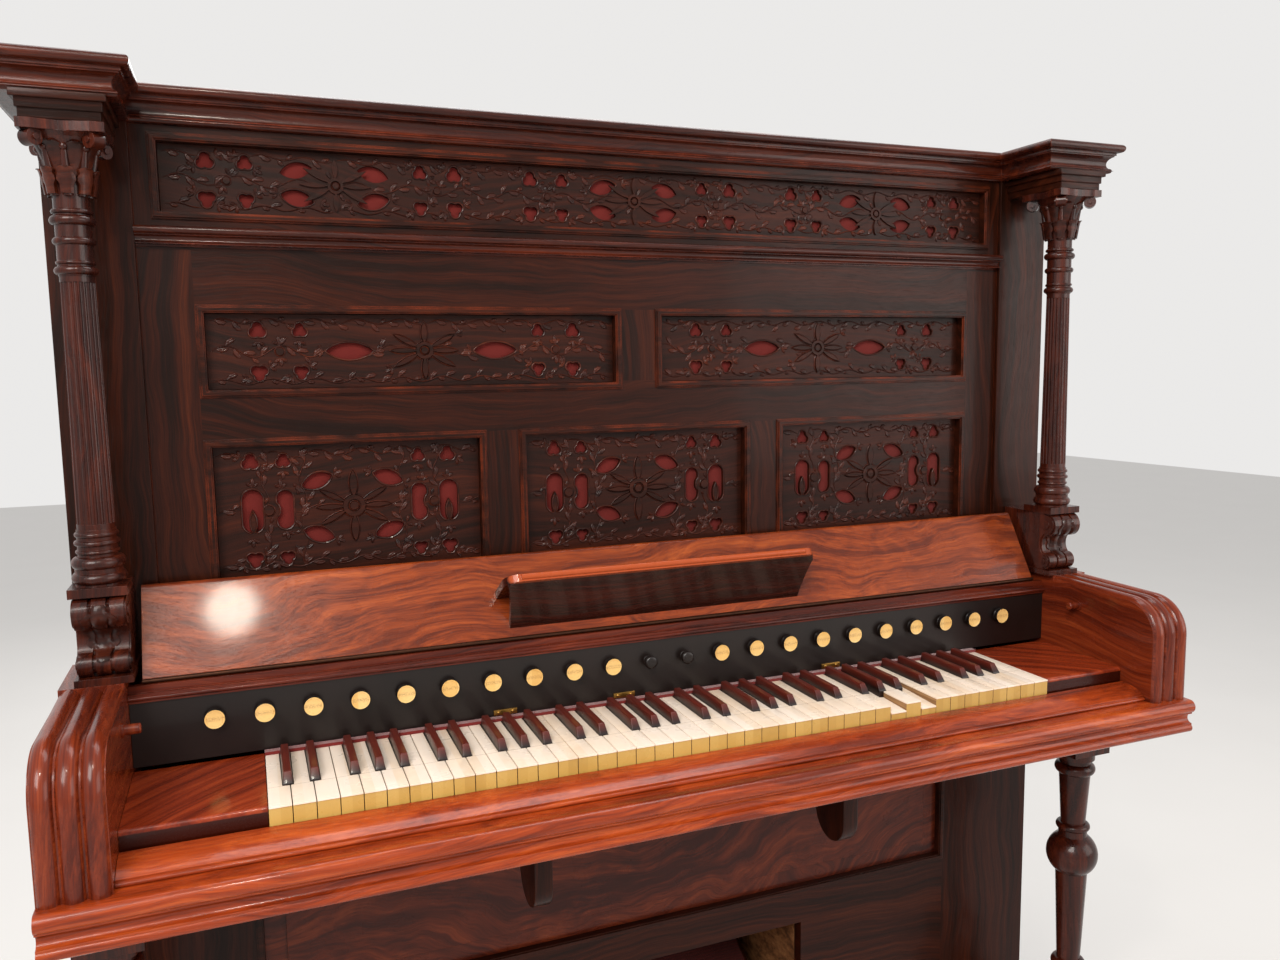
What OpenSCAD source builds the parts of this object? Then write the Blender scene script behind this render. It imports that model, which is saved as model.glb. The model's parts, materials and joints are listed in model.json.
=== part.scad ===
// Upright reed organ with a piano-style case, draw stops and a 73-note keyboard.
// All places are given from the middle of the key fronts at the level of the key tops:
// +X to the player's right, +Y into the case, +Z up. placed() moves them to the part's frame.

/* [Case] */
// Height of the key tops above the floor
key_top_h = 730; // [680:1:780]
// Width over the case sides
case_w = 1400; // [1370:1:1440]
// From the face of the stop board back to the face of the upper frame
board_back = 86; // [80:1:100]
// From the face of the upper frame to the back of the case
case_depth = 398; // [320:1:480]
// Thickness of a case side
side_t = 32; // [24:1:40]
// Width of the framing round the sunk field of a case side
side_rail = 75; // [50:1:110]
// How deep the fields of the sides and of the back are sunk
field_sunk = 5; // [2:0.5:8]
// Thickness of the framed fronts
frame_t = 20; // [16:1:28]
// Thickness of the back
back_t = 18; // [12:1:30]
// Width of the framing of the back
back_rail = 85; // [60:1:120]
// From the key tops up to the underside of the cornice
upper_h = 718; // [690:1:760]
// Thickness of the bottom board
bottom_t = 20; // [15:1:30]
// Height of the bottom board's underside above the floor
bottom_clear = 25; // [10:1:40]

/* [Cornice] */
// Height of the cornice
cornice_h = 41; // [34:1:60]
// How far the cornice overhangs the upper frame
cornice_over = 20.5; // [16:0.5:30]
// How far the cornice overhangs the case sides
cornice_side_over = 41; // [20:1:60]
// How far the breakfront over each column stands ahead of the main cornice
breakfront_out = 103; // [90:1:110]
// From a column's axis to the inner end of its breakfront
breakfront_in = 66; // [50:1:80]

/* [Upper front] */
// Width of a corner post
post_w = 88; // [70:1:100]
// How far the corner posts stand ahead of the upper frame
post_out = 6; // [2:1:12]
// From the top of the moulded rail to the underside of the cornice
frieze_h = 113; // [100:1:130]
// Height of the moulded rail
mid_rail_h = 22; // [16:1:30]
// How far the moulded rail stands ahead of the upper frame
mid_rail_out = 14; // [8:1:20]
// Height of the rail between the moulded rail and the upper openings
top_rail = 75; // [55:1:90]
// Height of the upper openings
upper_open_h = 90; // [80:1:110]
// Height of the rail between the upper and the lower openings
between_rail = 68; // [50:1:90]
// Height of the lower openings
lower_open_h = 160; // [140:1:180]
// Width of the stiles beside the openings
grille_stile = 67; // [50:1:90]
// Half the width of the stile between the two upper openings
stile_half = 34; // [25:1:60]
// Half the width of the middle one of the lower openings
mid_open_half = 162.5; // [150:0.5:180]
// Half the width of a mullion between the lower openings
mullion_half = 31; // [20:1:40]
// How far the raised beads round the openings stand ahead of the frame
bead_out = 4.5; // [2:0.5:5]
// Width of those beads
bead_w = 9; // [6:0.5:12]
// Width of the stiles beside the frieze opening
frieze_stile = 28; // [20:1:40]
// Height of the rails over and under the frieze opening
frieze_rail = 17.5; // [14:0.5:22]

/* [Fretwork] */
// Thickness of the fretwork
fret_t = 5; // [4:0.5:6]
// How far its carving stands out
carve_out = 2.5; // [1:0.5:4]
// Thickness of the cloth behind it
cloth_t = 1.5; // [1:0.5:3]
// Width of an outer piercing
outer_w = 23.5; // [18:0.5:26]
// Width of an inner piercing
inner_w = 19; // [15:0.5:22]
// Radius of a foil in the small piercings
foil_r = 5.6; // [4:0.1:6.2]
// Length of the leaf-shaped piercings round the middle
leaf_hole_l = 38; // [30:1:44]
// Width of those piercings
leaf_hole_w = 19; // [12:0.5:22]

/* [Columns] */
// Column axis in from the outside of the case
column_in = 38; // [34:1:42]
// Column axis ahead of the face of the upper frame
column_out = 79; // [74:1:84]
// Radius of the shaft at its foot
shaft_r = 18.5; // [16:0.5:20]
// Radius of the shaft under the neck
shaft_top_r = 16.5; // [14:0.5:19]
// Number of flutes
flutes = 20; // [12:1:24]
// Radius of a flute
flute_r = 2.2; // [1.5:0.1:2.4]
// Half the width of the block under a scroll bracket
foot_half = 28.5; // [27:0.5:31]
// Height of that block
foot_h = 8; // [6:0.5:14]
// Height of a scroll bracket
bracket_h = 88; // [80:1:105]
// Height of the slab on it
slab_h = 10; // [8:0.5:14]
// Height of the turned base
base_h = 60; // [50:1:66]
// Height of the ringed neck
neck_h = 81; // [70:1:95]
// Height of the capital
capital_h = 70; // [60:1:80]
// Half the width of the block over a capital
impost_half = 40; // [36:1:42]
// Height of that block
impost_h = 27; // [20:1:36]

/* [Keyboard] */
// Width of a white key with its gap
white_pitch = 23.571; // [23:0.01:24]
// Gap between neighbouring keys
key_gap = 1; // [0.6:0.1:1.6]
// Length of the white keys that shows
key_show = 146; // [140:1:152]
// From the back of what shows to the back end of the keys
key_tail = 94; // [70:1:140]
// Thickness of a key at its front
key_t = 20; // [18:0.5:22]
// Length of the wide front of a white key
key_head = 50; // [44:1:56]
// Width of a black key at its foot
black_w = 11; // [9:0.5:13]
// Height of the black keys over the white ones
black_h = 12; // [9:0.5:14]
// How far a pressed key's front is down
key_dip = 10; // [5:0.5:11]

/* [Key well] */
// How far the cheeks stand out past the case sides
cheek_past = 6; // [2:0.5:12]
// Thickness of a cheek
cheek_t = 63; // [57:1:69]
// Height of a cheek's top over the key tops, where the column's block stands
cheek_h = 108; // [104:0.5:114]
// How much lower a cheek's top is where it turns down at the front
crown_drop = 2.5; // [0:0.5:6]
// How far the cheeks reach ahead of the key fronts
cheek_out = 57; // [52:1:62]
// Radius of a cheek's rounded front
cheek_r = 52; // [40:1:60]
// Top of the keybed under the key tops
keybed_z = 37; // [35:0.5:44]
// Thickness of the keybed
keybed_t = 46; // [40:1:60]
// How far the keybed reaches ahead of the key fronts
keybed_out = 71; // [66:1:85]
// How far the key slip reaches ahead of the key fronts
slip_out = 42; // [36:1:48]
// From the back of what shows of the keys to the face of the stop board
board_gap = 10; // [6:0.5:14]
// Thickness of the stop board
stop_board_t = 10; // [8:0.5:14]
// Underside of the shelf over the stop board, above the key tops
shelf_z = 78; // [74:1:84]
// Thickness of that shelf
shelf_t = 10; // [8:1:14]

/* [Draw stops] */
// Stops on each side of the middle
stops_a_side = 10; // [6:1:10]
// Distance of the innermost stop from the middle
stop_first = 78.6; // [70:0.1:85]
// Distance between neighbouring stops
stop_pitch = 53.16; // [45:0.01:54]
// Height of the stops over the key tops
stop_z = 50.8; // [46:0.1:56]
// Radius of a stop's face
stop_r = 11.5; // [9:0.5:13]
// Length of a stop's head
stop_head = 9; // [7:0.5:12]
// Radius of a stop's rod
stop_rod_r = 4.5; // [3:0.5:6]
// Length of a stop's rod behind its head
stop_rod = 62; // [40:1:65]
// Distance of the two black knobs from the middle
knob_x = 26.5; // [20:0.5:35]
// Radius of a black knob
knob_r = 9; // [7:0.5:11]
// How far the black knobs stand out from the stop board
knob_out = 14; // [11:0.5:15]

/* [Fall] */
// Hinge line behind the face of the stop board
hinge_back = 7.5; // [6.5:0.5:10]
// Hinge line above the shelf
hinge_up = 11; // [9:0.5:14]
// Clearance between an end of the leaf and the column's block
leaf_gap = 5; // [5:0.5:10]
// Clearance between the open leaf's edge and the beads behind it
leaf_clear = 6; // [5:0.5:12]
// Thickness of the leaf
leaf_t = 12; // [9:0.5:14]
// Angle of the open leaf from level
leaf_open = 60; // [57:1:64]
// Slope of the closed leaf, down towards the player
leaf_closed = 14.5; // [12:0.5:16]
// Radius of the hinge rod
hinge_r = 2.5; // [1.5:0.5:3]
// Half the length of the music ledge at the leaf
ledge_half = 221; // [180:1:260]
// How much shorter the ledge's front edge is at each end
ledge_short = 20; // [12:1:26]
// How far the ledge stands out from the leaf
ledge_out = 64; // [50:1:66]
// Thickness of the ledge
ledge_t = 10; // [8:1:14]
// From the hinge line up the leaf to the top of the ledge
ledge_s = 64; // [56:1:66]
// From the hinge line up the leaf to the foot of the board under the ledge
apron_s = 14; // [13:0.5:20]
// Thickness of that board
apron_t = 8; // [6:0.5:10]
// How much narrower its foot is at each end than the ledge
apron_short = 12; // [4:1:16]
// From the hinge line along the closed leaf to the rests
rest_s = 83; // [76:1:88]
// Radius of a rest
rest_r = 5.5; // [4:0.5:7]
// How far a rest reaches under the leaf
rest_lap = 4; // [3:0.5:8]

/* [Lower case] */
// How far the legs' blocks stand out past the case sides
leg_past = 3; // [0:0.5:6]
// Leg axis behind the key fronts
leg_y = 104; // [90:1:120]
// Half the width of the square blocks on a leg
leg_block = 34; // [30:1:36]
// Height of those blocks
leg_block_h = 80; // [60:1:110]
// Radius of a leg at the swelling in its middle
leg_r = 38; // [30:1:40]
// Height of the toe blocks
toe_h = 75; // [60:1:90]
// How far the toe blocks reach ahead of the leg axis
toe_out = 60; // [50:1:75]
// Thickness of the lower panel
panel_t = 12; // [8:1:14]
// Width of the stiles beside the lower panel
panel_stile = 180; // [120:1:240]
// Height of the rails over and under the lower panel
panel_rail = 60; // [40:1:80]
// Half the width of the opening for the treadles
pedal_half = 260; // [220:1:300]
// Height of the top of that opening above the floor
pedal_top = 300; // [270:1:330]
// Thickness of the walls of the treadles' recess
recess_t = 15; // [10:1:20]
// Depth of that recess behind the lower frame
recess_depth = 235; // [225:1:300]
// Slope of the treadles
treadle_slope = 32; // [26:1:36]
// Length of a treadle
treadle_l = 235; // [210:1:240]
// Thickness of a treadle
treadle_t = 20; // [14:1:24]
// Half the gap between the treadles, and the gap beside each
treadle_gap = 22.5; // [10:0.5:40]
// Knee levers' distance from the middle
lever_x = 211; // [190:1:240]
// Thickness of a knee lever
lever_t = 22; // [16:1:28]
// Width of a knee lever from front to back
lever_w = 70; // [55:1:90]
// How far the knee levers hang below the keybed
lever_h = 120; // [90:1:125]

/* [Hidden] */
$fn = 48;
slit = 0.3;
WHITE_KEYS = 43;
PRESSED = [32, 34];
SHARP_SHIFT = [-2.2, 2.2, 0, -3.2, 0, 3.2, 0];
HAS_SHARP = [true, true, false, true, true, true, false];
STOP_COUNT = 2 * stops_a_side;

function stop_name(i) = str("stop_", i < 10 ? "0" : "", i);
STOP_NAMES = [for (i = [1 : STOP_COUNT]) stop_name(i)];
FIXED_NAMES = [
    "left_side", "right_side", "back_panel", "bottom_board", "corner_posts", "grille_frame",
    "upper_frets", "lower_frets", "grille_cloth", "mid_rail", "frieze_frame", "frieze_fret",
    "impost_blocks", "cornice", "left_column", "right_column", "scroll_brackets", "left_cheek",
    "right_cheek", "keybed", "key_slip", "key_blocks", "key_frame", "white_keys", "black_keys",
    "key_felt", "stop_board", "black_knobs", "fall_rail", "hinge_rod", "fall_rests", "fall_leaf",
    "music_ledge", "front_legs", "toe_blocks", "lower_frame", "lower_panel", "pedal_recess",
    "treadles", "knee_levers"
];

case_half = case_w / 2;
side_in = case_half - side_t;
stop_board_y = key_show + board_gap;
frame_y = stop_board_y + board_back;
frame_front = frame_y - bead_out;
post_y = frame_y - post_out;
side_y = frame_y + frame_t;
back_y = frame_y + case_depth;
depth_mid = (back_y - keybed_out) / 2;
floor_z = -key_top_h;
bottom_z = floor_z + bottom_clear;
shelf_top = shelf_z + shelf_t;
keybed_bottom = -keybed_z - keybed_t;
keys_half = WHITE_KEYS * white_pitch / 2;
key_len = key_show + key_tail;
cheek_x1 = case_half + cheek_past;
cheek_in = cheek_x1 - cheek_t;
post_in = case_half - post_w;
column_x = case_half - column_in;
column_y = frame_y - column_out;

walnut = [0.20, 0.10, 0.06];
burl = [0.42, 0.18, 0.09];
ebony = [0.06, 0.05, 0.05];
ivory = [0.90, 0.84, 0.70];
brass = [0.72, 0.55, 0.25];
red_cloth = [0.50, 0.06, 0.05];
carpet = [0.30, 0.10, 0.10];

// Moves what is drawn round the keyboard into the part's frame: on the floor, in its middle
module placed()
    translate([0, -depth_mid, key_top_h])
        children();

// A box between two corners
module box(a, b)
    translate(a)
        cube(b - a);

// An outline in Y and Z, drawn out along X
module along_x(x0, x1)
    translate([x0, 0, 0])
        rotate([90, 0, 90])
            linear_extrude(x1 - x0)
                children();

// An outline in X and Z, drawn out along Y
module along_y(y0, y1)
    translate([0, y1, 0])
        rotate([90, 0, 0])
            linear_extrude(y1 - y0)
                children();

// The same piece on the left and on the right
module pair() {
    children();
    mirror([1, 0, 0])
        children();
}

// A flat box between two corners
module flat(a, b)
    translate(a)
        square(b - a);

// A turned piece: cones as [bottom, top, radius below, radius above] and
// beads as [middle, half the height, outer radius]
module turned(cones, beads)
    rotate_extrude()
        intersection() {
            flat([0, -case_w], [case_w, case_w]);
            union() {
                for (c = cones)
                    polygon([[0, c[0]], [c[2], c[0]], [c[3], c[1]], [0, c[1]]]);
                for (b = beads)
                    translate([b[2] - b[1], b[0]])
                        circle(b[1]);
            }
        }

// Case

side_mid = keybed_bottom - side_rail / 2;

module case_side()
    color(walnut)
        placed()
            difference() {
                box([side_in, side_y, floor_z], [case_half, back_y, upper_h]);
                for (z = [[floor_z + toe_h + side_rail, side_mid - side_rail / 2],
                          [side_mid + side_rail / 2, upper_h - side_rail]])
                    box([case_half - field_sunk, side_y + side_rail, z[0]],
                        [case_half + 1, back_y - side_rail, z[1]]);
            }

module back_panel()
    color(walnut)
        placed()
            difference() {
                box([-side_in, back_y - back_t, floor_z], [side_in, back_y, upper_h]);
                for (i = [0 : 2], z = [[floor_z + back_rail, side_mid - back_rail / 2],
                                       [side_mid + back_rail / 2, upper_h - back_rail]]) {
                    bay = (2 * side_in - back_rail) / 3;
                    x0 = -side_in + back_rail + i * bay;
                    box([x0, back_y - field_sunk, z[0]], [x0 + bay - back_rail, back_y + 1, z[1]]);
                }
            }

module bottom_board()
    color(walnut)
        placed()
            box([-side_in, side_y, bottom_z], [side_in, back_y - back_t, bottom_z + bottom_t]);

module corner_posts()
    color(walnut)
        placed()
            pair()
                box([post_in, post_y, shelf_top], [case_half, side_y, upper_h]);

// Upper front. Openings are [left, right, bottom, top].

frieze_z = upper_h - frieze_h;
mid_rail_z = frieze_z - mid_rail_h;
upper_open_z = mid_rail_z - top_rail - upper_open_h;
lower_open_z = upper_open_z - between_rail - lower_open_h;
grille_half = post_in - grille_stile;
side_open_x = mid_open_half + 2 * mullion_half;
frieze_half = post_in - frieze_stile;
upper_open = [stile_half, grille_half, upper_open_z, upper_open_z + upper_open_h];
lower_side_open = [side_open_x, grille_half, lower_open_z, lower_open_z + lower_open_h];
lower_mid_open = [-mid_open_half, mid_open_half, lower_open_z, lower_open_z + lower_open_h];
frieze_open = [-frieze_half, frieze_half, frieze_z + frieze_rail, upper_h - frieze_rail];

module window(o, grow = 0)
    flat([o[0] - grow, o[2] - grow], [o[1] + grow, o[3] + grow]);

module all_windows(grow = 0) {
    for (side = [0, 1])
        mirror([side, 0]) {
            window(upper_open, grow);
            window(lower_side_open, grow);
        }
    window(lower_mid_open, grow);
}

// The beads round openings, in two steps
module bead_steps() {
    along_y(frame_y - bead_out / 2, frame_y)
        children(0);
    along_y(frame_front, frame_y - bead_out / 2)
        children(1);
}

module grille_frame()
    color(walnut)
        placed() {
            along_y(frame_y, side_y)
                difference() {
                    flat([-post_in, shelf_top], [post_in, mid_rail_z]);
                    all_windows();
                }
            bead_steps() {
                difference() {
                    all_windows(bead_w);
                    all_windows();
                }
                difference() {
                    all_windows(bead_w * 0.75);
                    all_windows(bead_w * 0.2);
                }
            }
        }

module frieze_frame()
    color(walnut)
        placed() {
            along_y(frame_y, side_y)
                difference() {
                    flat([-post_in, frieze_z], [post_in, upper_h]);
                    window(frieze_open);
                }
            bead_steps() {
                difference() {
                    window(frieze_open, bead_w);
                    window(frieze_open);
                }
                difference() {
                    window(frieze_open, bead_w * 0.75);
                    window(frieze_open, bead_w * 0.2);
                }
            }
        }

// Fretwork. A panel is drawn round its own middle, and its piercings come in mirrored pairs.

// Two arcs that meet in points, l long along X and w wide
module lens(l, w) {
    r = (l * l + w * w) / (4 * w);
    intersection() {
        translate([0, w / 2 - r])
            circle(r);
        translate([0, r - w / 2])
            circle(r);
    }
}

// Three foils, the single one up
module trefoil(r)
    for (a = [90, 210, 330])
        rotate(a)
            translate([r * 0.8, 0])
                circle(r);

// An upright slot with round ends
module slot(w, h) {
    flat([-w / 2, w / 2 - h / 2], [w / 2, h / 2 - w / 2]);
    for (s = [-1, 1])
        translate([0, s * (h - w) / 2])
            circle(w / 2);
}

// All that a module draws, mirrored left to right and top to bottom
module four()
    for (sx = [0, 1], sy = [0, 1])
        mirror([sx, 0])
            mirror([0, sy])
                children();

// Piercings: rows of trefoils in an outer and an inner column
module foil_rows(outer_x, inner_x, row_y)
    four() {
        translate([outer_x, row_y])
            trefoil(foil_r);
        translate([inner_x, row_y])
            trefoil(foil_r * 0.88);
    }

// Four leaf-shaped piercings round the middle
module leaf_ring(at, turn)
    four()
        translate(at)
            rotate(turn)
                lens(leaf_hole_l, leaf_hole_w);

// The tall piercings in the columns of a lower panel: a leaf stands in the outer one, and a
// round boss bites into the inner one
module tall_piercings(outer_x, inner_x, h)
    for (side = [0, 1])
        mirror([side, 0]) {
            translate([outer_x, 0])
                difference() {
                    slot(outer_w, h);
                    translate([0, -h * 0.27])
                        rotate(90)
                            lens(h * 0.62, outer_w * 0.42);
                }
            difference() {
                translate([inner_x, 0])
                    slot(inner_w, h * 0.9);
                translate([(outer_x + inner_x) / 2, 0])
                    circle(inner_w * 0.72);
            }
        }

// Carving in relief: a rosette in the middle, sprays to its sides and bosses between columns
module carving(b, boss_x) {
    difference() {
        circle(b * 0.24);
        circle(b * 0.15);
    }
    circle(b * 0.09);
    for (side = [0, 1])
        mirror([side, 0]) {
            for (turn = [-28, 0, 28])
                rotate(turn)
                    translate([b * 0.24 + leaf_hole_l * 0.4, 0])
                        lens(leaf_hole_l * 0.9, leaf_hole_w * 0.3);
            translate([boss_x, 0])
                circle(b * 0.1);
        }
    for (turn = [90, 270])
        rotate(turn)
            translate([b * 0.5, 0])
                lens(b * 0.6, b * 0.16);
}

module fret_plate(o) {
    a = (o[1] - o[0]) / 2;
    b = (o[3] - o[2]) / 2;
    translate([(o[0] + o[1]) / 2, 0, (o[2] + o[3]) / 2]) {
        along_y(side_y - 2 * fret_t, side_y - fret_t)
            difference() {
                window([-a, a, -b, b], -slit);
                children(0);
            }
        along_y(side_y - 2 * fret_t - carve_out, side_y - 2 * fret_t)
            children(1);
    }
}

upper_a = (grille_half - stile_half) / 2;
upper_b = upper_open_h / 2;

module upper_frets()
    color(walnut)
        placed()
            pair()
                fret_plate(upper_open) {
                    union() {
                        foil_rows(upper_a * 0.775, upper_a * 0.587, upper_b * 0.56);
                        for (x = [-0.36, 0.36])
                            translate([upper_a * x, 0])
                                lens(leaf_hole_l * 1.5, leaf_hole_w * 1.1);
                    }
                    carving(upper_b, upper_a * 0.68);
                }

lower_b = lower_open_h / 2;

module lower_fret(o) {
    a = (o[1] - o[0]) / 2;
    fret_plate(o) {
        union() {
            foil_rows(a * 0.745, a * 0.51, lower_b * 0.75);
            leaf_ring([a * 0.27, lower_b * 0.42], -20);
            tall_piercings(a * 0.745, a * 0.51, lower_b * 0.66);
        }
        carving(lower_b * 0.7, a * 0.628);
    }
}

module lower_frets()
    color(walnut)
        placed() {
            pair()
                lower_fret(lower_side_open);
            lower_fret(lower_mid_open);
        }

FRIEZE_BAYS = 3;
frieze_a = frieze_half / FRIEZE_BAYS;
frieze_b = (frieze_open[3] - frieze_open[2]) / 2;

module frieze_fret()
    color(walnut)
        placed()
            fret_plate(frieze_open) {
                for (i = [-1 : 1])
                    translate([i * 2 * frieze_a, 0]) {
                        foil_rows(frieze_a * 0.745, frieze_a * 0.524, frieze_b * 0.55);
                        leaf_ring([frieze_a * 0.23, frieze_b * 0.42], -12);
                    }
                for (i = [-1 : 1])
                    translate([i * 2 * frieze_a, 0])
                        carving(frieze_b, frieze_a * 0.63);
            }

module grille_cloth()
    color(red_cloth)
        placed()
            along_y(side_y - fret_t + slit, side_y - fret_t + slit + cloth_t) {
                all_windows(-slit);
                window(frieze_open, -slit);
            }

module mid_rail()
    color(walnut)
        placed()
            along_x(-post_in, post_in) {
                nose_r = mid_rail_h * 0.2;
                top = mid_rail_z + mid_rail_h;
                flat([frame_y, mid_rail_z], [side_y, top]);
                translate([frame_y - mid_rail_out + nose_r, top - nose_r])
                    circle(nose_r);
                flat([frame_y - mid_rail_out + nose_r, top - 2 * nose_r], [side_y, top]);
                difference() {
                    flat([frame_y - mid_rail_out * 0.6, mid_rail_z + mid_rail_h * 0.1],
                         [side_y, top - 2 * nose_r]);
                    translate([frame_y - mid_rail_out * 0.6, mid_rail_z + mid_rail_h * 0.35])
                        circle(mid_rail_h * 0.2);
                }
            }

// Cornice

// The cornice's moulding, from its overhang at 0 back to a straight body
module cornice_outline(back) {
    nose = cornice_h * 0.146;
    translate([nose, cornice_h - nose])
        circle(nose);
    flat([nose, cornice_h - 2 * nose], [back, cornice_h]);
    flat([cornice_h * 0.22, cornice_h * 0.62], [back, cornice_h - 2 * nose]);
    difference() {
        flat([cornice_h * 0.27, cornice_h * 0.08], [back, cornice_h * 0.62]);
        translate([cornice_h * 0.2, cornice_h * 0.33])
            circle(cornice_h * 0.26);
    }
    translate([cornice_h * 0.41, cornice_h * 0.09])
        circle(cornice_h * 0.09);
    flat([cornice_h * 0.41, 0], [back, cornice_h * 0.2]);
}

cornice_front = frame_y - cornice_over;
break_front = cornice_front - breakfront_out;
break_x = column_x - breakfront_in;
cornice_end = case_half + cornice_side_over;

break_half = (cornice_end - break_x) / 2;
break_mid = break_x + break_half;

// A run of moulding, cut off at its mitres as the plan says
module mitred(plan)
    intersection() {
        children();
        linear_extrude(cornice_h)
            polygon(plan);
    }

module cornice()
    color(walnut)
        placed()
            translate([0, 0, upper_h]) {
                mitred([[-break_x, cornice_front], [break_x, cornice_front],
                        [break_mid, cornice_front + break_half], [break_mid, back_y],
                        [-break_mid, back_y], [-break_mid, cornice_front + break_half]])
                    along_x(-break_mid, break_mid)
                        translate([cornice_front, 0])
                            cornice_outline(back_y - cornice_front);
                pair() {
                    mitred([[break_x, break_front], [cornice_end, break_front],
                            [break_mid, break_front + break_half]])
                        along_x(break_x, cornice_end)
                            translate([break_front, 0])
                                cornice_outline(break_half);
                    mitred([[break_x, break_front], [break_mid, break_front + break_half],
                            [break_mid, cornice_front + break_half], [break_x, cornice_front]])
                        along_y(break_front, back_y)
                            translate([break_x, 0])
                                cornice_outline(break_half);
                    mitred([[cornice_end, break_front], [cornice_end, back_y],
                            [break_mid, back_y], [break_mid, break_front + break_half]])
                        along_y(break_front, back_y)
                            translate([cornice_end, 0])
                                mirror([1, 0])
                                    cornice_outline(break_half);
                }
            }

module impost_blocks()
    color(walnut)
        placed()
            pair()
                for (step = [[0, 0.35, 0.92], [0.35, 0.7, 0.97], [0.7, 1, 1.07]]) {
                    half = impost_half * step[2];
                    z = upper_h - impost_h;
                    box([column_x - half, column_y - half, z + impost_h * step[0]],
                        [column_x + half, post_y, z + impost_h * step[1]]);
                }

// Columns, from the cheek up: block, scroll bracket, slab, turned base, shaft, neck, capital

foot_top = cheek_h + foot_h;
bracket_top = foot_top + bracket_h;
slab_top = bracket_top + slab_h;
shaft_z0 = slab_top + base_h;
capital_top = upper_h - impost_h;
capital_z = capital_top - capital_h;
shaft_z1 = capital_z - neck_h;
shaft_h = shaft_z1 - shaft_z0;
taper = atan((shaft_r - shaft_top_r) / shaft_h);

module column_base() {
    r = shaft_r;
    h = base_h;
    turned([[0, h * 0.3, r + 5, r + 5], [h * 0.3, h, r + 1, r + 1]],
           [[h * 0.13, h * 0.11, r + 8.5], [h * 0.4, h * 0.12, r + 8],
            [h * 0.6, h * 0.035, r + 3], [h * 0.76, h * 0.05, r + 4],
            [h * 0.91, h * 0.045, r + 3.2]]);
}

module column_shaft()
    difference() {
        cylinder(h = shaft_h, r1 = shaft_r, r2 = shaft_top_r);
        for (k = [0 : flutes - 1])
            rotate([0, 0, k * 360 / flutes])
                translate([shaft_r + flute_r * 0.3, 0, shaft_r / 3])
                    rotate([0, -taper, 0])
                        cylinder(h = shaft_h - shaft_r * 2 / 3, r = flute_r, $fn = 24);
    }

module column_neck() {
    r = shaft_top_r;
    h = neck_h;
    turned([[0, h, r + 0.8, r + 0.8]],
           [[h * 0.07, h * 0.055, r + 4.5], [h * 0.17, h * 0.025, r + 2.5],
            [h * 0.44, h * 0.05, r + 4], [h * 0.7, h * 0.062, r + 5.5],
            [h * 0.81, h * 0.03, r + 3.5]]);
}

// The capital's bell as [height share, radius]
BELL = [[0, 17.5], [0.3, 19], [0.5, 22], [0.68, 27], [0.8, 32], [0.86, 36]];

// A leaf that lies on the bell and ends in a curled tip
module capital_leaf() {
    leaf_h = capital_h * BELL[3][0];
    lean = atan((BELL[3][1] - BELL[0][1]) / leaf_h);
    translate([BELL[0][1] - 1, 0, 0])
        rotate([0, lean, 0]) {
            cylinder(h = leaf_h, r1 = 5, r2 = 3);
            translate([1, 0, leaf_h])
                sphere(4, $fn = 24);
        }
}

module capital() {
    plate = capital_h * 0.14;
    half = impost_half * 0.98;
    rotate_extrude()
        polygon(concat([[0, 0]], [for (p = BELL) [p[1], p[0] * capital_h]],
                       [[0, BELL[5][0] * capital_h]]));
    for (k = [0 : 7])
        rotate([0, 0, k * 45])
            capital_leaf();
    difference() {
        translate([-half, -half, capital_h - plate])
            cube([2 * half, 2 * half, plate]);
        for (k = [0 : 3])
            rotate([0, 0, k * 90])
                translate([half * 3.1, 0, capital_h - plate - 1])
                    cylinder(h = plate + 2, r = half * 2.2, $fn = 96);
    }
    for (k = [0 : 3])
        rotate([0, 0, 45 + k * 90])
            translate([half * 1.02, 0, capital_h - plate - capital_h * 0.1])
                rotate([90, 0, 0]) {
                    cylinder(h = capital_h * 0.2, r = capital_h * 0.12, center = true);
                    cylinder(h = capital_h * 0.26, r = capital_h * 0.045, center = true);
                }
}

module column()
    color(walnut)
        placed()
            translate([column_x, column_y, 0]) {
                translate([-foot_half, -foot_half, bracket_top])
                    cube([2 * foot_half, 2 * foot_half, slab_h]);
                translate([0, 0, slab_top])
                    column_base();
                translate([0, 0, shaft_z0])
                    column_shaft();
                translate([0, 0, shaft_z1])
                    column_neck();
                translate([0, 0, capital_z])
                    capital();
            }

bracket_half = foot_half - 2.5;
bracket_front = column_y - bracket_half;
top_roll_r = bracket_h * 0.205;
low_roll_r = bracket_h * 0.145;
roll_ahead = bracket_half * 0.35;

// A bracket's side outline: a roll at the top, a waist and a smaller roll at the foot
module bracket_outline(sunk) {
    difference() {
        flat([bracket_front + low_roll_r, foot_top], [post_y, bracket_top]);
        translate([bracket_front - 2, foot_top + bracket_h * 0.44])
            circle(bracket_h * 0.23 + sunk);
    }
    translate([bracket_front + top_roll_r - roll_ahead, bracket_top - top_roll_r])
        circle(top_roll_r - sunk);
    translate([bracket_front + low_roll_r, foot_top + low_roll_r])
        circle(low_roll_r - sunk);
}

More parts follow.
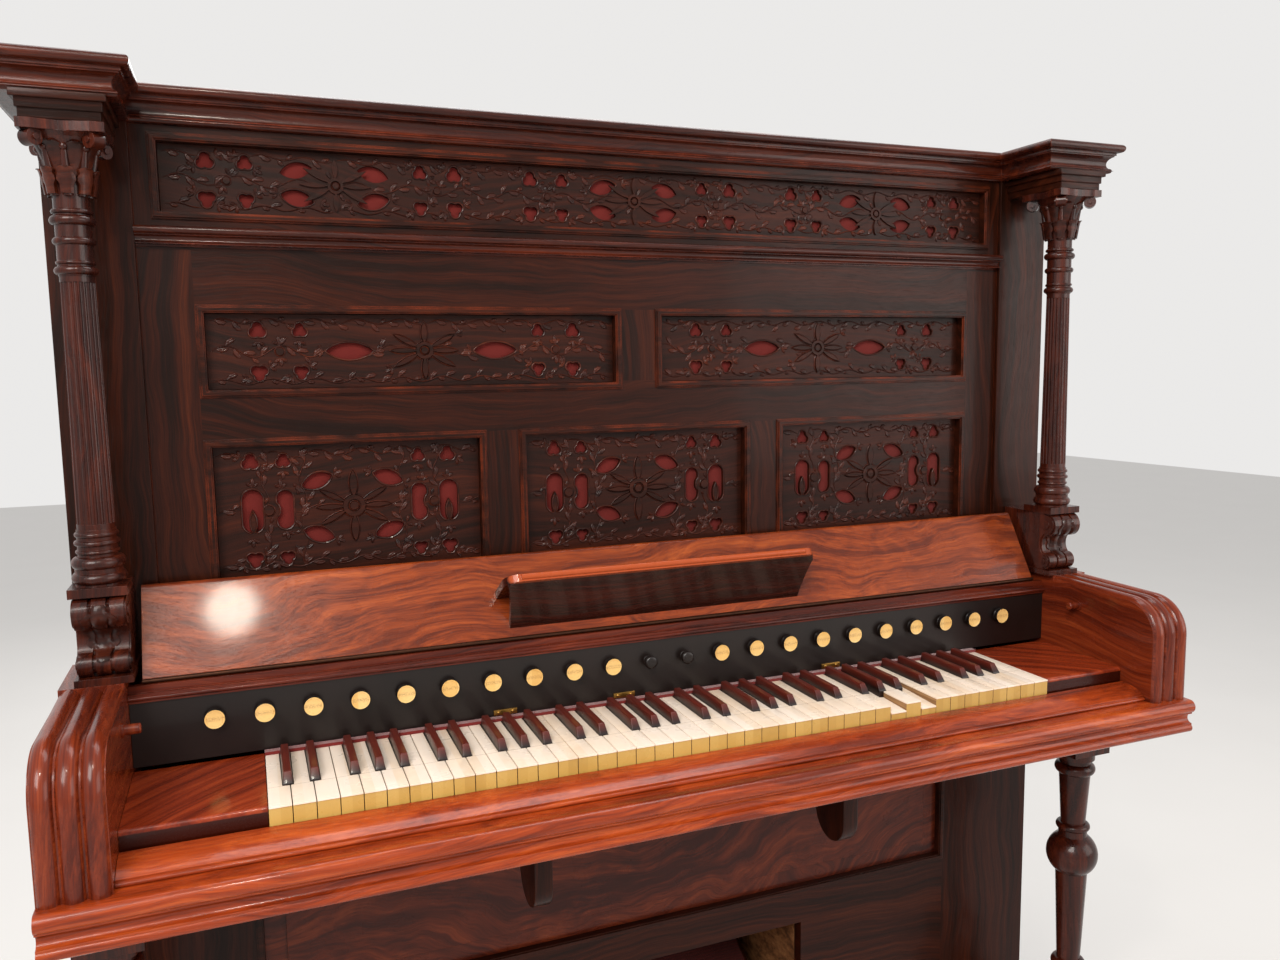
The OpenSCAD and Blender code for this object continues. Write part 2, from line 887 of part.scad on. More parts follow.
module scroll_brackets()
    color(walnut)
        placed()
            pair() {
                lobe = 2 * bracket_half / 3;
                box([column_x - foot_half, column_y - foot_half, cheek_h],
                    [column_x + foot_half, post_y, foot_top]);
                along_x(column_x - bracket_half, column_x + bracket_half)
                    bracket_outline(lobe * 0.16);
                for (k = [-1 : 1])
                    along_x(column_x + (k - 0.4) * lobe, column_x + (k + 0.4) * lobe)
                        bracket_outline(0);
                for (eye = [[bracket_front + top_roll_r - roll_ahead, bracket_top - top_roll_r,
                             top_roll_r],
                            [bracket_front + low_roll_r, foot_top + low_roll_r, low_roll_r]])
                    translate([column_x, eye[0], eye[1]])
                        rotate([0, 90, 0])
                            cylinder(h = 2 * bracket_half + 3, r = eye[2] * 0.35, center = true);
            }

// Key well

roll_r = cheek_t / 6;
cheek_crown = cheek_h - crown_drop;
arc_y = cheek_r - cheek_out;
arc_z = cheek_crown - cheek_r;
column_front = column_y - foot_half;
crown_slope = atan((cheek_h - cheek_crown) / (column_front - arc_y));

// A cheek's side outline behind its rolls, and its full height under the column
module cheek_outline() {
    sunk = roll_r * 0.6;
    flat([column_front, -keybed_z], [post_y, cheek_h]);
    flat([post_y, -keybed_z], [side_y, shelf_top]);
    flat([arc_y, -keybed_z], [column_front, cheek_crown - sunk]);
    flat([sunk - cheek_out, -keybed_z], [arc_y, arc_z]);
    translate([arc_y, arc_z])
        circle(cheek_r - sunk);
}

// One of the three rolls that run up a cheek's front and back over its top
module cheek_roll() {
    axis_r = cheek_r - roll_r;
    translate([0, arc_y - axis_r, -keybed_z])
        cylinder(h = arc_z + keybed_z, r = roll_r);
    translate([0, arc_y, arc_z])
        rotate([90, 0, 90])
            rotate([0, 0, 90])
                rotate_extrude(angle = 90)
                    translate([axis_r, 0])
                        circle(roll_r);
    translate([0, arc_y, arc_z + axis_r])
        rotate([crown_slope - 90, 0, 0])
            cylinder(h = (column_front - arc_y) / cos(crown_slope), r = roll_r);
}

module cheek()
    color(walnut)
        placed() {
            along_x(cheek_in, cheek_x1)
                cheek_outline();
            for (k = [0 : 2])
                translate([cheek_in + (2 * k + 1) * roll_r, 0, 0])
                    cheek_roll();
        }

// The keybed's front moulding: a nose over a hollow and a bead
module keybed_outline() {
    nose = keybed_t * 0.2;
    low = keybed_t * 0.13;
    front = -keybed_out + nose * 0.55;
    translate([-keybed_out + nose, -keybed_z - nose])
        circle(nose);
    flat([-keybed_out + nose, -keybed_z - 2 * nose], [side_y, -keybed_z]);
    difference() {
        flat([front, keybed_bottom + low], [side_y, -keybed_z - nose]);
        translate([front, -keybed_z - keybed_t * 0.57])
            circle(keybed_t * 0.15);
    }
    translate([front + low * 0.7, keybed_bottom + low])
        circle(low);
    flat([front + low * 0.7, keybed_bottom], [side_y, keybed_bottom + 2 * low]);
}

module keybed()
    color(burl)
        placed() {
            along_x(-cheek_x1, cheek_x1)
                keybed_outline();
            box([-side_in + slit, side_y, keybed_bottom],
                [side_in - slit, side_y + keybed_t, -keybed_z]);
        }

// The key slip: a rounded strip before the keys with a bead along its foot
module key_slip()
    color(burl)
        placed()
            along_x(-cheek_in + slit, cheek_in - slit) {
                slip_h = keybed_z - key_t + 0.5;
                r = slip_out * 1.45;
                bead = slip_h * 0.14;
                intersection() {
                    flat([-slip_out + bead, -keybed_z], [-2, -keybed_z + slip_h]);
                    translate([-slip_out * 0.15, -keybed_z + slip_h - r])
                        circle(r);
                }
                translate([-slip_out + bead, -keybed_z + bead])
                    circle(bead);
            }

module key_blocks()
    color(burl)
        placed()
            pair()
                along_x(keys_half + slit, cheek_in - slit) {
                    edge = key_t / 5;
                    flat([1.5, -keybed_z], [stop_board_y - slit, -edge]);
                    flat([1.5 + edge, -edge], [stop_board_y - slit, 0]);
                    translate([1.5 + edge, -edge])
                        circle(edge);
                }

key_bottom = -key_t - 2;
balance_y = key_len - key_tail / 3;

module key_frame()
    color(walnut)
        placed() {
            rail = key_t * 0.6;
            box([-keys_half, rail, -keybed_z], [keys_half, 3 * rail, key_bottom - key_dip]);
            along_x(-keys_half, keys_half) {
                flat([balance_y - rail, -keybed_z], [balance_y + rail, key_bottom - 2]);
                flat([balance_y - 1.5, key_bottom - 2], [balance_y + 1.5, key_bottom - slit]);
            }
        }

function note(w) = w % 7;
function key_x(w) = (w - WHITE_KEYS / 2) * white_pitch;
function sharp_after(w) = w >= 0 && w < WHITE_KEYS - 1 && HAS_SHARP[note(w)];
function sharp_x(w) = key_x(w + 1) + SHARP_SHIFT[note(w)];

// Turns a key about the balance rail when it is held down
module pressed(w) {
    held = len([for (p = PRESSED) if (p == w) p]) > 0;
    angle = held ? asin(key_dip / balance_y) : 0;
    translate([0, balance_y, key_bottom])
        rotate([angle, 0, 0])
            translate([0, -balance_y, -key_bottom])
                children();
}

module white_key(w) {
    cut = black_w / 2 + key_gap;
    pressed(w)
        difference() {
            box([key_x(w) + key_gap / 2, 0, key_bottom],
                [key_x(w + 1) - key_gap / 2, key_len, 0]);
            if (sharp_after(w))
                box([sharp_x(w) - cut, key_head, key_bottom - 1],
                    [sharp_x(w) + cut, key_len + 1, 1]);
            if (sharp_after(w - 1))
                box([sharp_x(w - 1) - cut, key_head, key_bottom - 1],
                    [sharp_x(w - 1) + cut, key_len + 1, 1]);
        }
}

module white_keys()
    color(ivory)
        placed()
            for (w = [0 : WHITE_KEYS - 1])
                white_key(w);

module black_key(x) {
    foot = black_w / 2;
    top = foot * 0.73;
    front = key_head + key_gap;
    intersection() {
        along_y(front, key_len)
            polygon([[x - foot, key_bottom], [x + foot, key_bottom], [x + foot, 0],
                     [x + top, black_h], [x - top, black_h], [x - foot, 0]]);
        along_x(x - black_w, x + black_w)
            polygon([[front, key_bottom], [key_len, key_bottom], [key_len, -2],
                     [key_show - 1, -2], [key_show - 1, black_h],
                     [front + black_h * 0.75, black_h], [front, 1]]);
    }
}

module black_keys()
    color(ebony)
        placed()
            for (w = [0 : WHITE_KEYS - 2])
                if (sharp_after(w))
                    black_key(sharp_x(w));

felt_h = 4;

module key_felt()
    color(red_cloth)
        placed()
            box([-keys_half, key_show + 1, slit],
                [keys_half, stop_board_y + stop_board_t, felt_h]);

// Draw stops

function stop_x(i) = i <= stops_a_side ? -stop_first - (stops_a_side - i) * stop_pitch
                                       : stop_first + (i - stops_a_side - 1) * stop_pitch;

module stop_board()
    color(ebony)
        placed()
            difference() {
                box([-cheek_in + slit, stop_board_y, felt_h + slit],
                    [cheek_in - slit, stop_board_y + stop_board_t, shelf_z]);
                for (i = [1 : STOP_COUNT])
                    translate([stop_x(i), stop_board_y - 1, stop_z])
                        rotate([-90, 0, 0])
                            cylinder(h = stop_board_t + 2, r = stop_rod_r + slit);
            }

// A stop with a slightly hollow face
module stop(i)
    color(ivory)
        placed()
            translate([stop_x(i), stop_board_y - slit, stop_z])
                rotate([90, 0, 0])
                    rotate_extrude() {
                        edge = stop_head * 0.2;
                        dish = stop_r * 6;
                        difference() {
                            union() {
                                flat([0, 0], [stop_r, stop_head - edge]);
                                flat([0, 0], [stop_r - edge, stop_head]);
                                translate([stop_r - edge, stop_head - edge])
                                    circle(edge);
                            }
                            translate([0, stop_head + dish - 0.7])
                                circle(dish, $fn = 180);
                        }
                        flat([0, -stop_rod], [stop_rod_r, 1]);
                    }

module black_knobs()
    color(ebony)
        placed()
            for (side = [-1, 1])
                translate([side * knob_x, stop_board_y, stop_z])
                    rotate([90, 0, 0])
                        turned([[0, knob_out, knob_r * 0.45, knob_r * 0.5],
                                [0, knob_out * 0.08, knob_r * 0.8, knob_r * 0.7]],
                               [[knob_out - knob_r * 0.48, knob_r * 0.45, knob_r]]);

// Fall

hinge_y = stop_board_y + hinge_back;
hinge_z = shelf_top + hinge_up;
leaf_half = column_x - foot_half - leaf_gap;
leaf_l = (frame_front - leaf_clear - leaf_t * sin(leaf_open) - hinge_y) / cos(leaf_open);

module fall_rail()
    color(walnut)
        placed()
            along_x(-cheek_in + slit, cheek_in - slit) {
                front = stop_board_y - 3;
                flat([front, shelf_z], [side_y, shelf_top]);
                translate([front, shelf_z + shelf_t / 2])
                    circle(shelf_t / 4);
                flat([front + shelf_t / 2, shelf_top], [hinge_y + 1, hinge_z - hinge_r - slit]);
            }

module hinge_rod()
    color(brass)
        placed()
            translate([-leaf_half, hinge_y, hinge_z])
                rotate([0, 90, 0])
                    cylinder(h = 2 * leaf_half, r = hinge_r);

// Places what is drawn along the open leaf: first its slope, then out from its face
module on_leaf()
    placed()
        translate([0, hinge_y, hinge_z])
            rotate([leaf_open, 0, 0])
                children();

module fall_leaf()
    color(burl)
        on_leaf()
            difference() {
                along_x(-leaf_half, leaf_half) {
                    flat([0, -leaf_t], [leaf_l - leaf_t / 2, 0]);
                    translate([leaf_l - leaf_t / 2, -leaf_t / 2])
                        circle(leaf_t / 2);
                }
                translate([-leaf_half - 1, 0, 0])
                    rotate([0, 90, 0])
                        cylinder(h = 2 * leaf_half + 2, r = hinge_r + slit);
            }

apron_turn = atan((ledge_out - 2) / (ledge_s - ledge_t - apron_s));
apron_l = (ledge_s - ledge_t / 2 - apron_s) / cos(apron_turn);

// The ledge seen along the leaf: a board with rounded front corners
module ledge_plan(inset) {
    r = ledge_short - inset;
    front = ledge_half - ledge_short;
    pair() {
        flat([0, 0], [front, ledge_out - inset]);
        flat([0, 0], [front + r, ledge_out - ledge_short]);
        translate([front, ledge_out - ledge_short])
            circle(r);
    }
}

// The board under the ledge, from its foot up: its ends spread towards the ledge
module apron_outline() {
    sweep_r = (apron_l * apron_l + apron_short * apron_short) / (2 * apron_short);
    difference() {
        flat([-ledge_half, 0], [ledge_half, apron_l]);
        for (side = [-1, 1])
            translate([side * (ledge_half - apron_short + sweep_r), 0])
                circle(sweep_r, $fn = 180);
    }
}

// The music ledge: a shelf with rounded corners, a bead along its front edge and a board
// that slopes from under it back to the foot of the leaf
module music_ledge()
    color(walnut)
        on_leaf() {
            front = ledge_half - ledge_short;
            bead = ledge_t * 0.38;
            translate([0, ledge_s, 0])
                rotate([90, 0, 0])
                    linear_extrude(ledge_t)
                        ledge_plan(0);
            translate([-front, ledge_s - bead, ledge_out])
                rotate([0, 90, 0])
                    cylinder(h = 2 * front, r = bead);
            intersection() {
                translate([0, ledge_s - ledge_t / 2, 0])
                    rotate([90, 0, 0])
                        linear_extrude(ledge_s - ledge_t / 2 - apron_s)
                            ledge_plan(1);
                translate([0, apron_s, 0])
                    rotate([apron_turn, 0, 0])
                        translate([0, 0, -apron_t])
                            linear_extrude(apron_t)
                                apron_outline();
            }
        }

// Turned pegs in the cheeks that the closed leaf comes to rest on
module fall_rests()
    color(walnut)
        placed()
            pair()
                translate([cheek_in, hinge_y, hinge_z])
                    rotate([180 + leaf_closed, 0, 0])
                        translate([0, rest_s, slit + rest_r])
                            rotate([0, -90, 0])
                                rotate_extrude() {
                                    l = cheek_in - leaf_half + rest_lap;
                                    edge = rest_r * 0.4;
                                    flat([0, 0], [rest_r, l - edge]);
                                    flat([0, 0], [rest_r - edge, l]);
                                    translate([rest_r - edge, l - edge])
                                        circle(edge);
                                    flat([0, 0], [rest_r * 1.4, rest_r * 0.4]);
                                }

// Lower case

toe_top = floor_z + toe_h;
leg_x = case_half + leg_past - leg_block;
turned_h = keybed_bottom - toe_top - 2 * leg_block_h;

// The turned part of a leg: a vase up to a swelling, and a collar above it
module leg_turning() {
    h = turned_h;
    r = leg_r;
    turned([[0, h * 0.03, r * 0.8, r * 0.8], [h * 0.03, h * 0.13, r * 0.62, r * 0.46],
            [h * 0.13, h * 0.52, r * 0.44, r * 0.62], [h * 0.5, h * 0.7, r * 0.6, r * 0.55],
            [h * 0.69, h * 0.93, r * 0.46, r * 0.62], [h * 0.97, h, r * 0.75, r * 0.75],
            [h * 0.92, h * 0.98, r * 0.6, r * 0.6]],
           [[h * 0.145, h * 0.02, r * 0.68], [h * 0.59, h * 0.088, r],
            [h * 0.7, h * 0.014, r * 0.66], [h * 0.93, h * 0.022, r * 0.78],
            [h * 0.045, h * 0.02, r * 0.82]]);
}

module front_legs()
    color(walnut)
        placed()
            pair()
                translate([leg_x, leg_y, 0]) {
                    for (z = [toe_top, keybed_bottom - leg_block_h])
                        translate([-leg_block, -leg_block, z])
                            cube([2 * leg_block, 2 * leg_block, leg_block_h]);
                    translate([0, 0, toe_top + leg_block_h])
                        leg_turning();
                }

module toe_blocks()
    color(walnut)
        placed()
            pair()
                along_x(leg_x - leg_block, case_half + leg_past) {
                    front = leg_y - toe_out;
                    r = toe_h * 0.4;
                    flat([front, floor_z], [side_y, toe_top - r]);
                    flat([front + r, toe_top - r], [side_y, toe_top]);
                    translate([front + r, toe_top - r])
                        circle(r);
                }

recess_floor = bottom_z + bottom_t + recess_t;
recess_back = side_y + recess_depth;
pedal_z = floor_z + pedal_top;
panel_half = case_half - panel_stile;
lower_panel_open = [-panel_half, panel_half, pedal_z + panel_rail, keybed_bottom - panel_rail];
pedal_open = [-pedal_half, pedal_half, recess_floor, pedal_z];

module lower_frame()
    color(walnut)
        placed() {
            along_y(frame_y, side_y)
                difference() {
                    union() {
                        flat([-case_half, toe_top], [case_half, keybed_bottom]);
                        flat([leg_block - leg_x, bottom_z], [leg_x - leg_block, toe_top + 1]);
                    }
                    window(lower_panel_open);
                    window(pedal_open);
                }
            bead_steps() {
                difference() {
                    window(lower_panel_open, bead_w);
                    window(lower_panel_open);
                }
                difference() {
                    window(lower_panel_open, bead_w * 0.75);
                    window(lower_panel_open, bead_w * 0.2);
                }
            }
        }

// The lower panel, with a raised field
module lower_panel()
    color(walnut)
        placed() {
            along_y(side_y - panel_t, side_y)
                window(lower_panel_open, -slit);
            along_y(side_y - panel_t - field_sunk * 0.6, side_y - panel_t)
                window(lower_panel_open, -panel_rail * 0.45);
        }

module pedal_recess()
    color(walnut)
        placed()
            difference() {
                box([-pedal_half - recess_t, side_y, bottom_z + bottom_t],
                    [pedal_half + recess_t, recess_back + recess_t, pedal_z + recess_t]);
                box([-pedal_half, side_y - 1, recess_floor], [pedal_half, recess_back, pedal_z]);
            }

module treadles()
    color(carpet)
        placed()
            pair()
                translate([0, frame_y + treadle_t * 0.3, recess_floor + slit])
                    rotate([treadle_slope, 0, 0])
                        box([treadle_gap, 0, 0], [pedal_half - treadle_gap, treadle_l, treadle_t]);

module knee_levers()
    color(walnut)
        placed()
            pair()
                along_x(lever_x - lever_t / 2, lever_x + lever_t / 2) {
                    r = lever_w / 2;
                    mid = leg_y - r;
                    flat([mid - r, keybed_bottom - lever_h + r], [mid + r, keybed_bottom]);
                    translate([mid, keybed_bottom - lever_h + r])
                        circle(r);
                }

mirror([1, 0, 0]) case_side();  // left_side
case_side();  // right_side
back_panel();
bottom_board();
corner_posts();
grille_frame();
upper_frets();
lower_frets();
grille_cloth();
mid_rail();
frieze_frame();
frieze_fret();
impost_blocks();
cornice();
mirror([1, 0, 0]) column();  // left_column
column();  // right_column
scroll_brackets();
mirror([1, 0, 0]) cheek();  // left_cheek
cheek();  // right_cheek
keybed();
key_slip();
key_blocks();
key_frame();
white_keys();
black_keys();
key_felt();
stop_board();
black_knobs();
fall_rail();
hinge_rod();
fall_rests();
fall_leaf();
music_ledge();
front_legs();
toe_blocks();
lower_frame();
lower_panel();
pedal_recess();
treadles();
knee_levers();
for (i = [1 : STOP_COUNT])
    stop(i);
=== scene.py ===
import json
import math

import bmesh
import bpy
from mathutils import Matrix, Vector
from mathutils.bvhtree import BVHTree

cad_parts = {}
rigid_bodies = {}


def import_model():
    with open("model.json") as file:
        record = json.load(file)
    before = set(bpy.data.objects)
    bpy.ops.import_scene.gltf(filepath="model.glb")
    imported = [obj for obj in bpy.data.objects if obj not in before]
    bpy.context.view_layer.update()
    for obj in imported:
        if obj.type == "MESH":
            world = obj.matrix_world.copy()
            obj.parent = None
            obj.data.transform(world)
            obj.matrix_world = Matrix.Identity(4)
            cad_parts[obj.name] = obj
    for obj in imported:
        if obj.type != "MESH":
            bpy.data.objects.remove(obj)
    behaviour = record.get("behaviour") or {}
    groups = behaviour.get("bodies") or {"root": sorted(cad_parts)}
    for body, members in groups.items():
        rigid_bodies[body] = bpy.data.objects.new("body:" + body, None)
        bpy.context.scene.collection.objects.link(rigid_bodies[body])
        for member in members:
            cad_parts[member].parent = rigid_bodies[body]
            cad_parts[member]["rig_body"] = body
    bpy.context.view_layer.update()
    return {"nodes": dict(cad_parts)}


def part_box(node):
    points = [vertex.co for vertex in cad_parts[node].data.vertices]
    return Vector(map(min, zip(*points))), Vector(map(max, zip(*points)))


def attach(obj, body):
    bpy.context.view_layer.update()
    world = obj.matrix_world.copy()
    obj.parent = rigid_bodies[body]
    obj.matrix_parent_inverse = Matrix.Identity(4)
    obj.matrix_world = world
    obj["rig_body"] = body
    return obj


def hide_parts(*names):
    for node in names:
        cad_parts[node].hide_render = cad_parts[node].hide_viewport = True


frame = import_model()
NODES = frame["nodes"]
scene = bpy.context.scene
scene.view_settings.view_transform = "Standard"

# Places given in millimetres are from the middle of the key fronts at the level of the key tops,
# which lies this far ahead of the part's middle and above the floor.
KEY_FRONT_Y, KEY_TOP_Z = 284.5, 730

# Width of a white key, in metres
KEY_PITCH = 0.023571

# A column's axis, to the side of the middle and behind the key fronts
COLUMN_X, COLUMN_Y = 662, 163

# What the camera and reflections see of the floor and the backdrop
PALE = (0.83, 0.82, 0.81, 1)


def P(x, y, z):
    """A place given from the middle of the key fronts, in metres of the part's frame."""
    return Vector((x / 1000, (y - KEY_FRONT_Y) / 1000, (z + KEY_TOP_Z) / 1000))


# Camera and light

CAMERA_AT = (-0.5075, -1.3221, 1.1675)
yaw, pitch, roll = 0.37716, -0.11255, -0.0143
flat = math.cos(pitch)
forward = Vector((math.sin(yaw) * flat, math.cos(yaw) * flat, math.sin(pitch)))
level = Vector((math.cos(yaw), -math.sin(yaw), 0))
above = level.cross(forward)
right = level * math.cos(roll) + above * math.sin(roll)
up = -level * math.sin(roll) + above * math.cos(roll)
cam = bpy.data.objects.new("camera", bpy.data.cameras.new("camera"))
scene.collection.objects.link(cam)
cam.data.sensor_width = 36
cam.data.lens = 27.987
cam.data.clip_start = 0.02
facing = Matrix((right, up, -forward)).transposed().to_4x4()
cam.matrix_world = Matrix.Translation(CAMERA_AT) @ facing
scene.camera = cam


def lamp(name, place, target, size, power, colour=(1, 1, 1), shape="RECTANGLE"):
    data = bpy.data.lights.new(name, "AREA")
    data.shape = shape
    data.size, data.size_y = size
    data.energy = power
    data.color = colour
    o = bpy.data.objects.new(name, data)
    scene.collection.objects.link(o)
    o.location = place
    o.rotation_mode = "QUATERNION"
    o.rotation_quaternion = (Vector(target) - Vector(place)).to_track_quat("-Z", "Y")


lamp("key_light", (-1.9, -2.4, 2.9), (0, 0, 0.9), (1.6, 1.6), 105, (1, 0.96, 0.92))
lamp("fill_light", (2.6, -2.6, 1.7), (0, 0, 0.8), (2.2, 2.2), 45, (1, 0.93, 0.88))
lamp("top_light", (0.2, 0.6, 3.2), (0, 0, 1.0), (2.4, 1.6), 60)
lamp("back_light", (0.4, 3.0, 2.2), (0, 0, 0.9), (2.4, 1.8), 50)
# The lamp whose reflection shows on the fall
lamp("small_lamp", (-0.574, -1.435, 2.368), (-0.519, -0.082, 0.896), (0.15, 0.15), 8,
     (1, 0.93, 0.8), "DISK")


def studio():
    """A soft world for the light, which camera, glossy and transmission rays see as pale."""
    world = bpy.data.worlds.new("studio")
    scene.world = world
    world.use_nodes = True
    nodes, links = world.node_tree.nodes, world.node_tree.links
    nodes.clear()
    out = nodes.new("ShaderNodeOutputWorld")
    soft = nodes.new("ShaderNodeBackground")
    seen = nodes.new("ShaderNodeBackground")
    mix = nodes.new("ShaderNodeMixShader")
    path = nodes.new("ShaderNodeLightPath")
    soft.inputs["Color"].default_value = (0.93, 0.9, 0.87, 1)
    soft.inputs["Strength"].default_value = 0.42
    seen.inputs["Color"].default_value = PALE
    seen.inputs["Strength"].default_value = 1.0
    rays = path.outputs["Is Camera Ray"]
    for kind in ("Is Glossy Ray", "Is Transmission Ray"):
        total = nodes.new("ShaderNodeMath")
        total.operation = "ADD"
        total.use_clamp = True
        links.new(rays, total.inputs[0])
        links.new(path.outputs[kind], total.inputs[1])
        rays = total.outputs[0]
    links.new(rays, mix.inputs[0])
    links.new(soft.outputs[0], mix.inputs[1])
    links.new(seen.outputs[0], mix.inputs[2])
    links.new(mix.outputs[0], out.inputs["Surface"])


studio()


# Material tools

def srgb(r, g, b):
    """A colour of 0 to 255, as the linear values that nodes take."""
    def linear(c):
        c /= 255
        return c / 12.92 if c <= 0.04045 else ((c + 0.055) / 1.055) ** 2.4
    return (linear(r), linear(g), linear(b), 1.0)


class Tree:
    """A procedural material and the few node calls that its recipes share."""

    def __init__(self, name):
        self.mat = bpy.data.materials.new(name)
        self.mat.use_nodes = True
        self.nt = self.mat.node_tree
        self.nt.nodes.clear()
        self.out = self.add("OutputMaterial")
        self.bsdf = self.add("BsdfPrincipled")
        self.nt.links.new(self.bsdf.outputs[0], self.out.inputs["Surface"])
        self.object = self.add("TexCoord").outputs["Object"]

    def add(self, kind, **props):
        n = self.nt.nodes.new("ShaderNode" + kind)
        for k, v in props.items():
            setattr(n, k, v)
        return n

    def put(self, socket, value):
        if isinstance(value, bpy.types.NodeSocket):
            self.nt.links.new(value, socket)
        else:
            socket.default_value = value

    def math(self, op, a, b=0.0, c=0.0, clamp=False):
        n = self.add("Math", operation=op, use_clamp=clamp)
        for i, v in enumerate((a, b, c)):
            self.put(n.inputs[i], v)
        return n.outputs[0]

    def mix(self, fac, a, b):
        n = self.add("Mix", data_type="RGBA")
        self.put(n.inputs[0], fac)
        self.put(n.inputs[6], a)
        self.put(n.inputs[7], b)
        return n.outputs[2]

    def mix_number(self, fac, a, b):
        n = self.add("Mix", data_type="FLOAT")
        self.put(n.inputs[0], fac)
        self.put(n.inputs[2], a)
        self.put(n.inputs[3], b)
        return n.outputs[0]

    def split(self, v):
        n = self.add("SeparateXYZ")
        self.put(n.inputs[0], v)
        return n.outputs

    def join(self, x, y, z):
        n = self.add("CombineXYZ")
        for i, v in enumerate((x, y, z)):
            self.put(n.inputs[i], v)
        return n.outputs[0]

    def scaled(self, v, scale, shift=(0, 0, 0)):
        n = self.add("Mapping")
        self.put(n.inputs["Vector"], v)
        n.inputs["Scale"].default_value = scale
        n.inputs["Location"].default_value = shift
        return n.outputs[0]

    def noise(self, v, scale, detail=2.0, rough=0.5, warp=0.0):
        n = self.add("TexNoise")
        self.put(n.inputs["Vector"], v)
        n.inputs["Scale"].default_value = scale
        n.inputs["Detail"].default_value = detail
        n.inputs["Roughness"].default_value = rough
        n.inputs["Distortion"].default_value = warp
        return n.outputs["Fac"]

    def ramp(self, fac, stops):
        n = self.add("ValToRGB")
        e = n.color_ramp.elements
        while len(e) < len(stops):
            e.new(0.5)
        for i, (at, colour) in enumerate(stops):
            e[i].position = at
            e[i].color = colour
        self.put(n.inputs[0], fac)
        return n.outputs[0]

    def step(self, fac, low, high):
        """0 at low, 1 at high, and straight between them."""
        n = self.add("MapRange")
        self.put(n.inputs["Value"], fac)
        n.inputs["From Min"].default_value = low
        n.inputs["From Max"].default_value = high
        return n.outputs[0]

    def bump(self, height, strength, distance, edge=0.0):
        """Relief from a height, with edges softened over a width in metres."""
        n = self.add("Bump")
        n.inputs["Strength"].default_value = strength
        n.inputs["Distance"].default_value = distance
        self.put(n.inputs["Height"], height)
        if edge:
            b = self.add("Bevel", samples=4)
            b.inputs["Radius"].default_value = edge
            self.put(n.inputs["Normal"], b.outputs[0])
        self.put(self.bsdf.inputs["Normal"], n.outputs[0])

    def shade(self, colour, rough, metal=0.0, coat=0.0, spec=0.5, sheen=0.0):
        self.put(self.bsdf.inputs["Base Color"], colour)
        self.put(self.bsdf.inputs["Roughness"], rough)
        self.bsdf.inputs["Metallic"].default_value = metal
        self.bsdf.inputs["Coat Weight"].default_value = coat
        self.bsdf.inputs["Coat Roughness"].default_value = 0.08
        self.bsdf.inputs["Specular IOR Level"].default_value = spec
        self.bsdf.inputs["Sheen Weight"].default_value = sheen
        return self.mat


def darker(c, k):
    return (c[0] * k, c[1] * k, c[2] * k, 1)


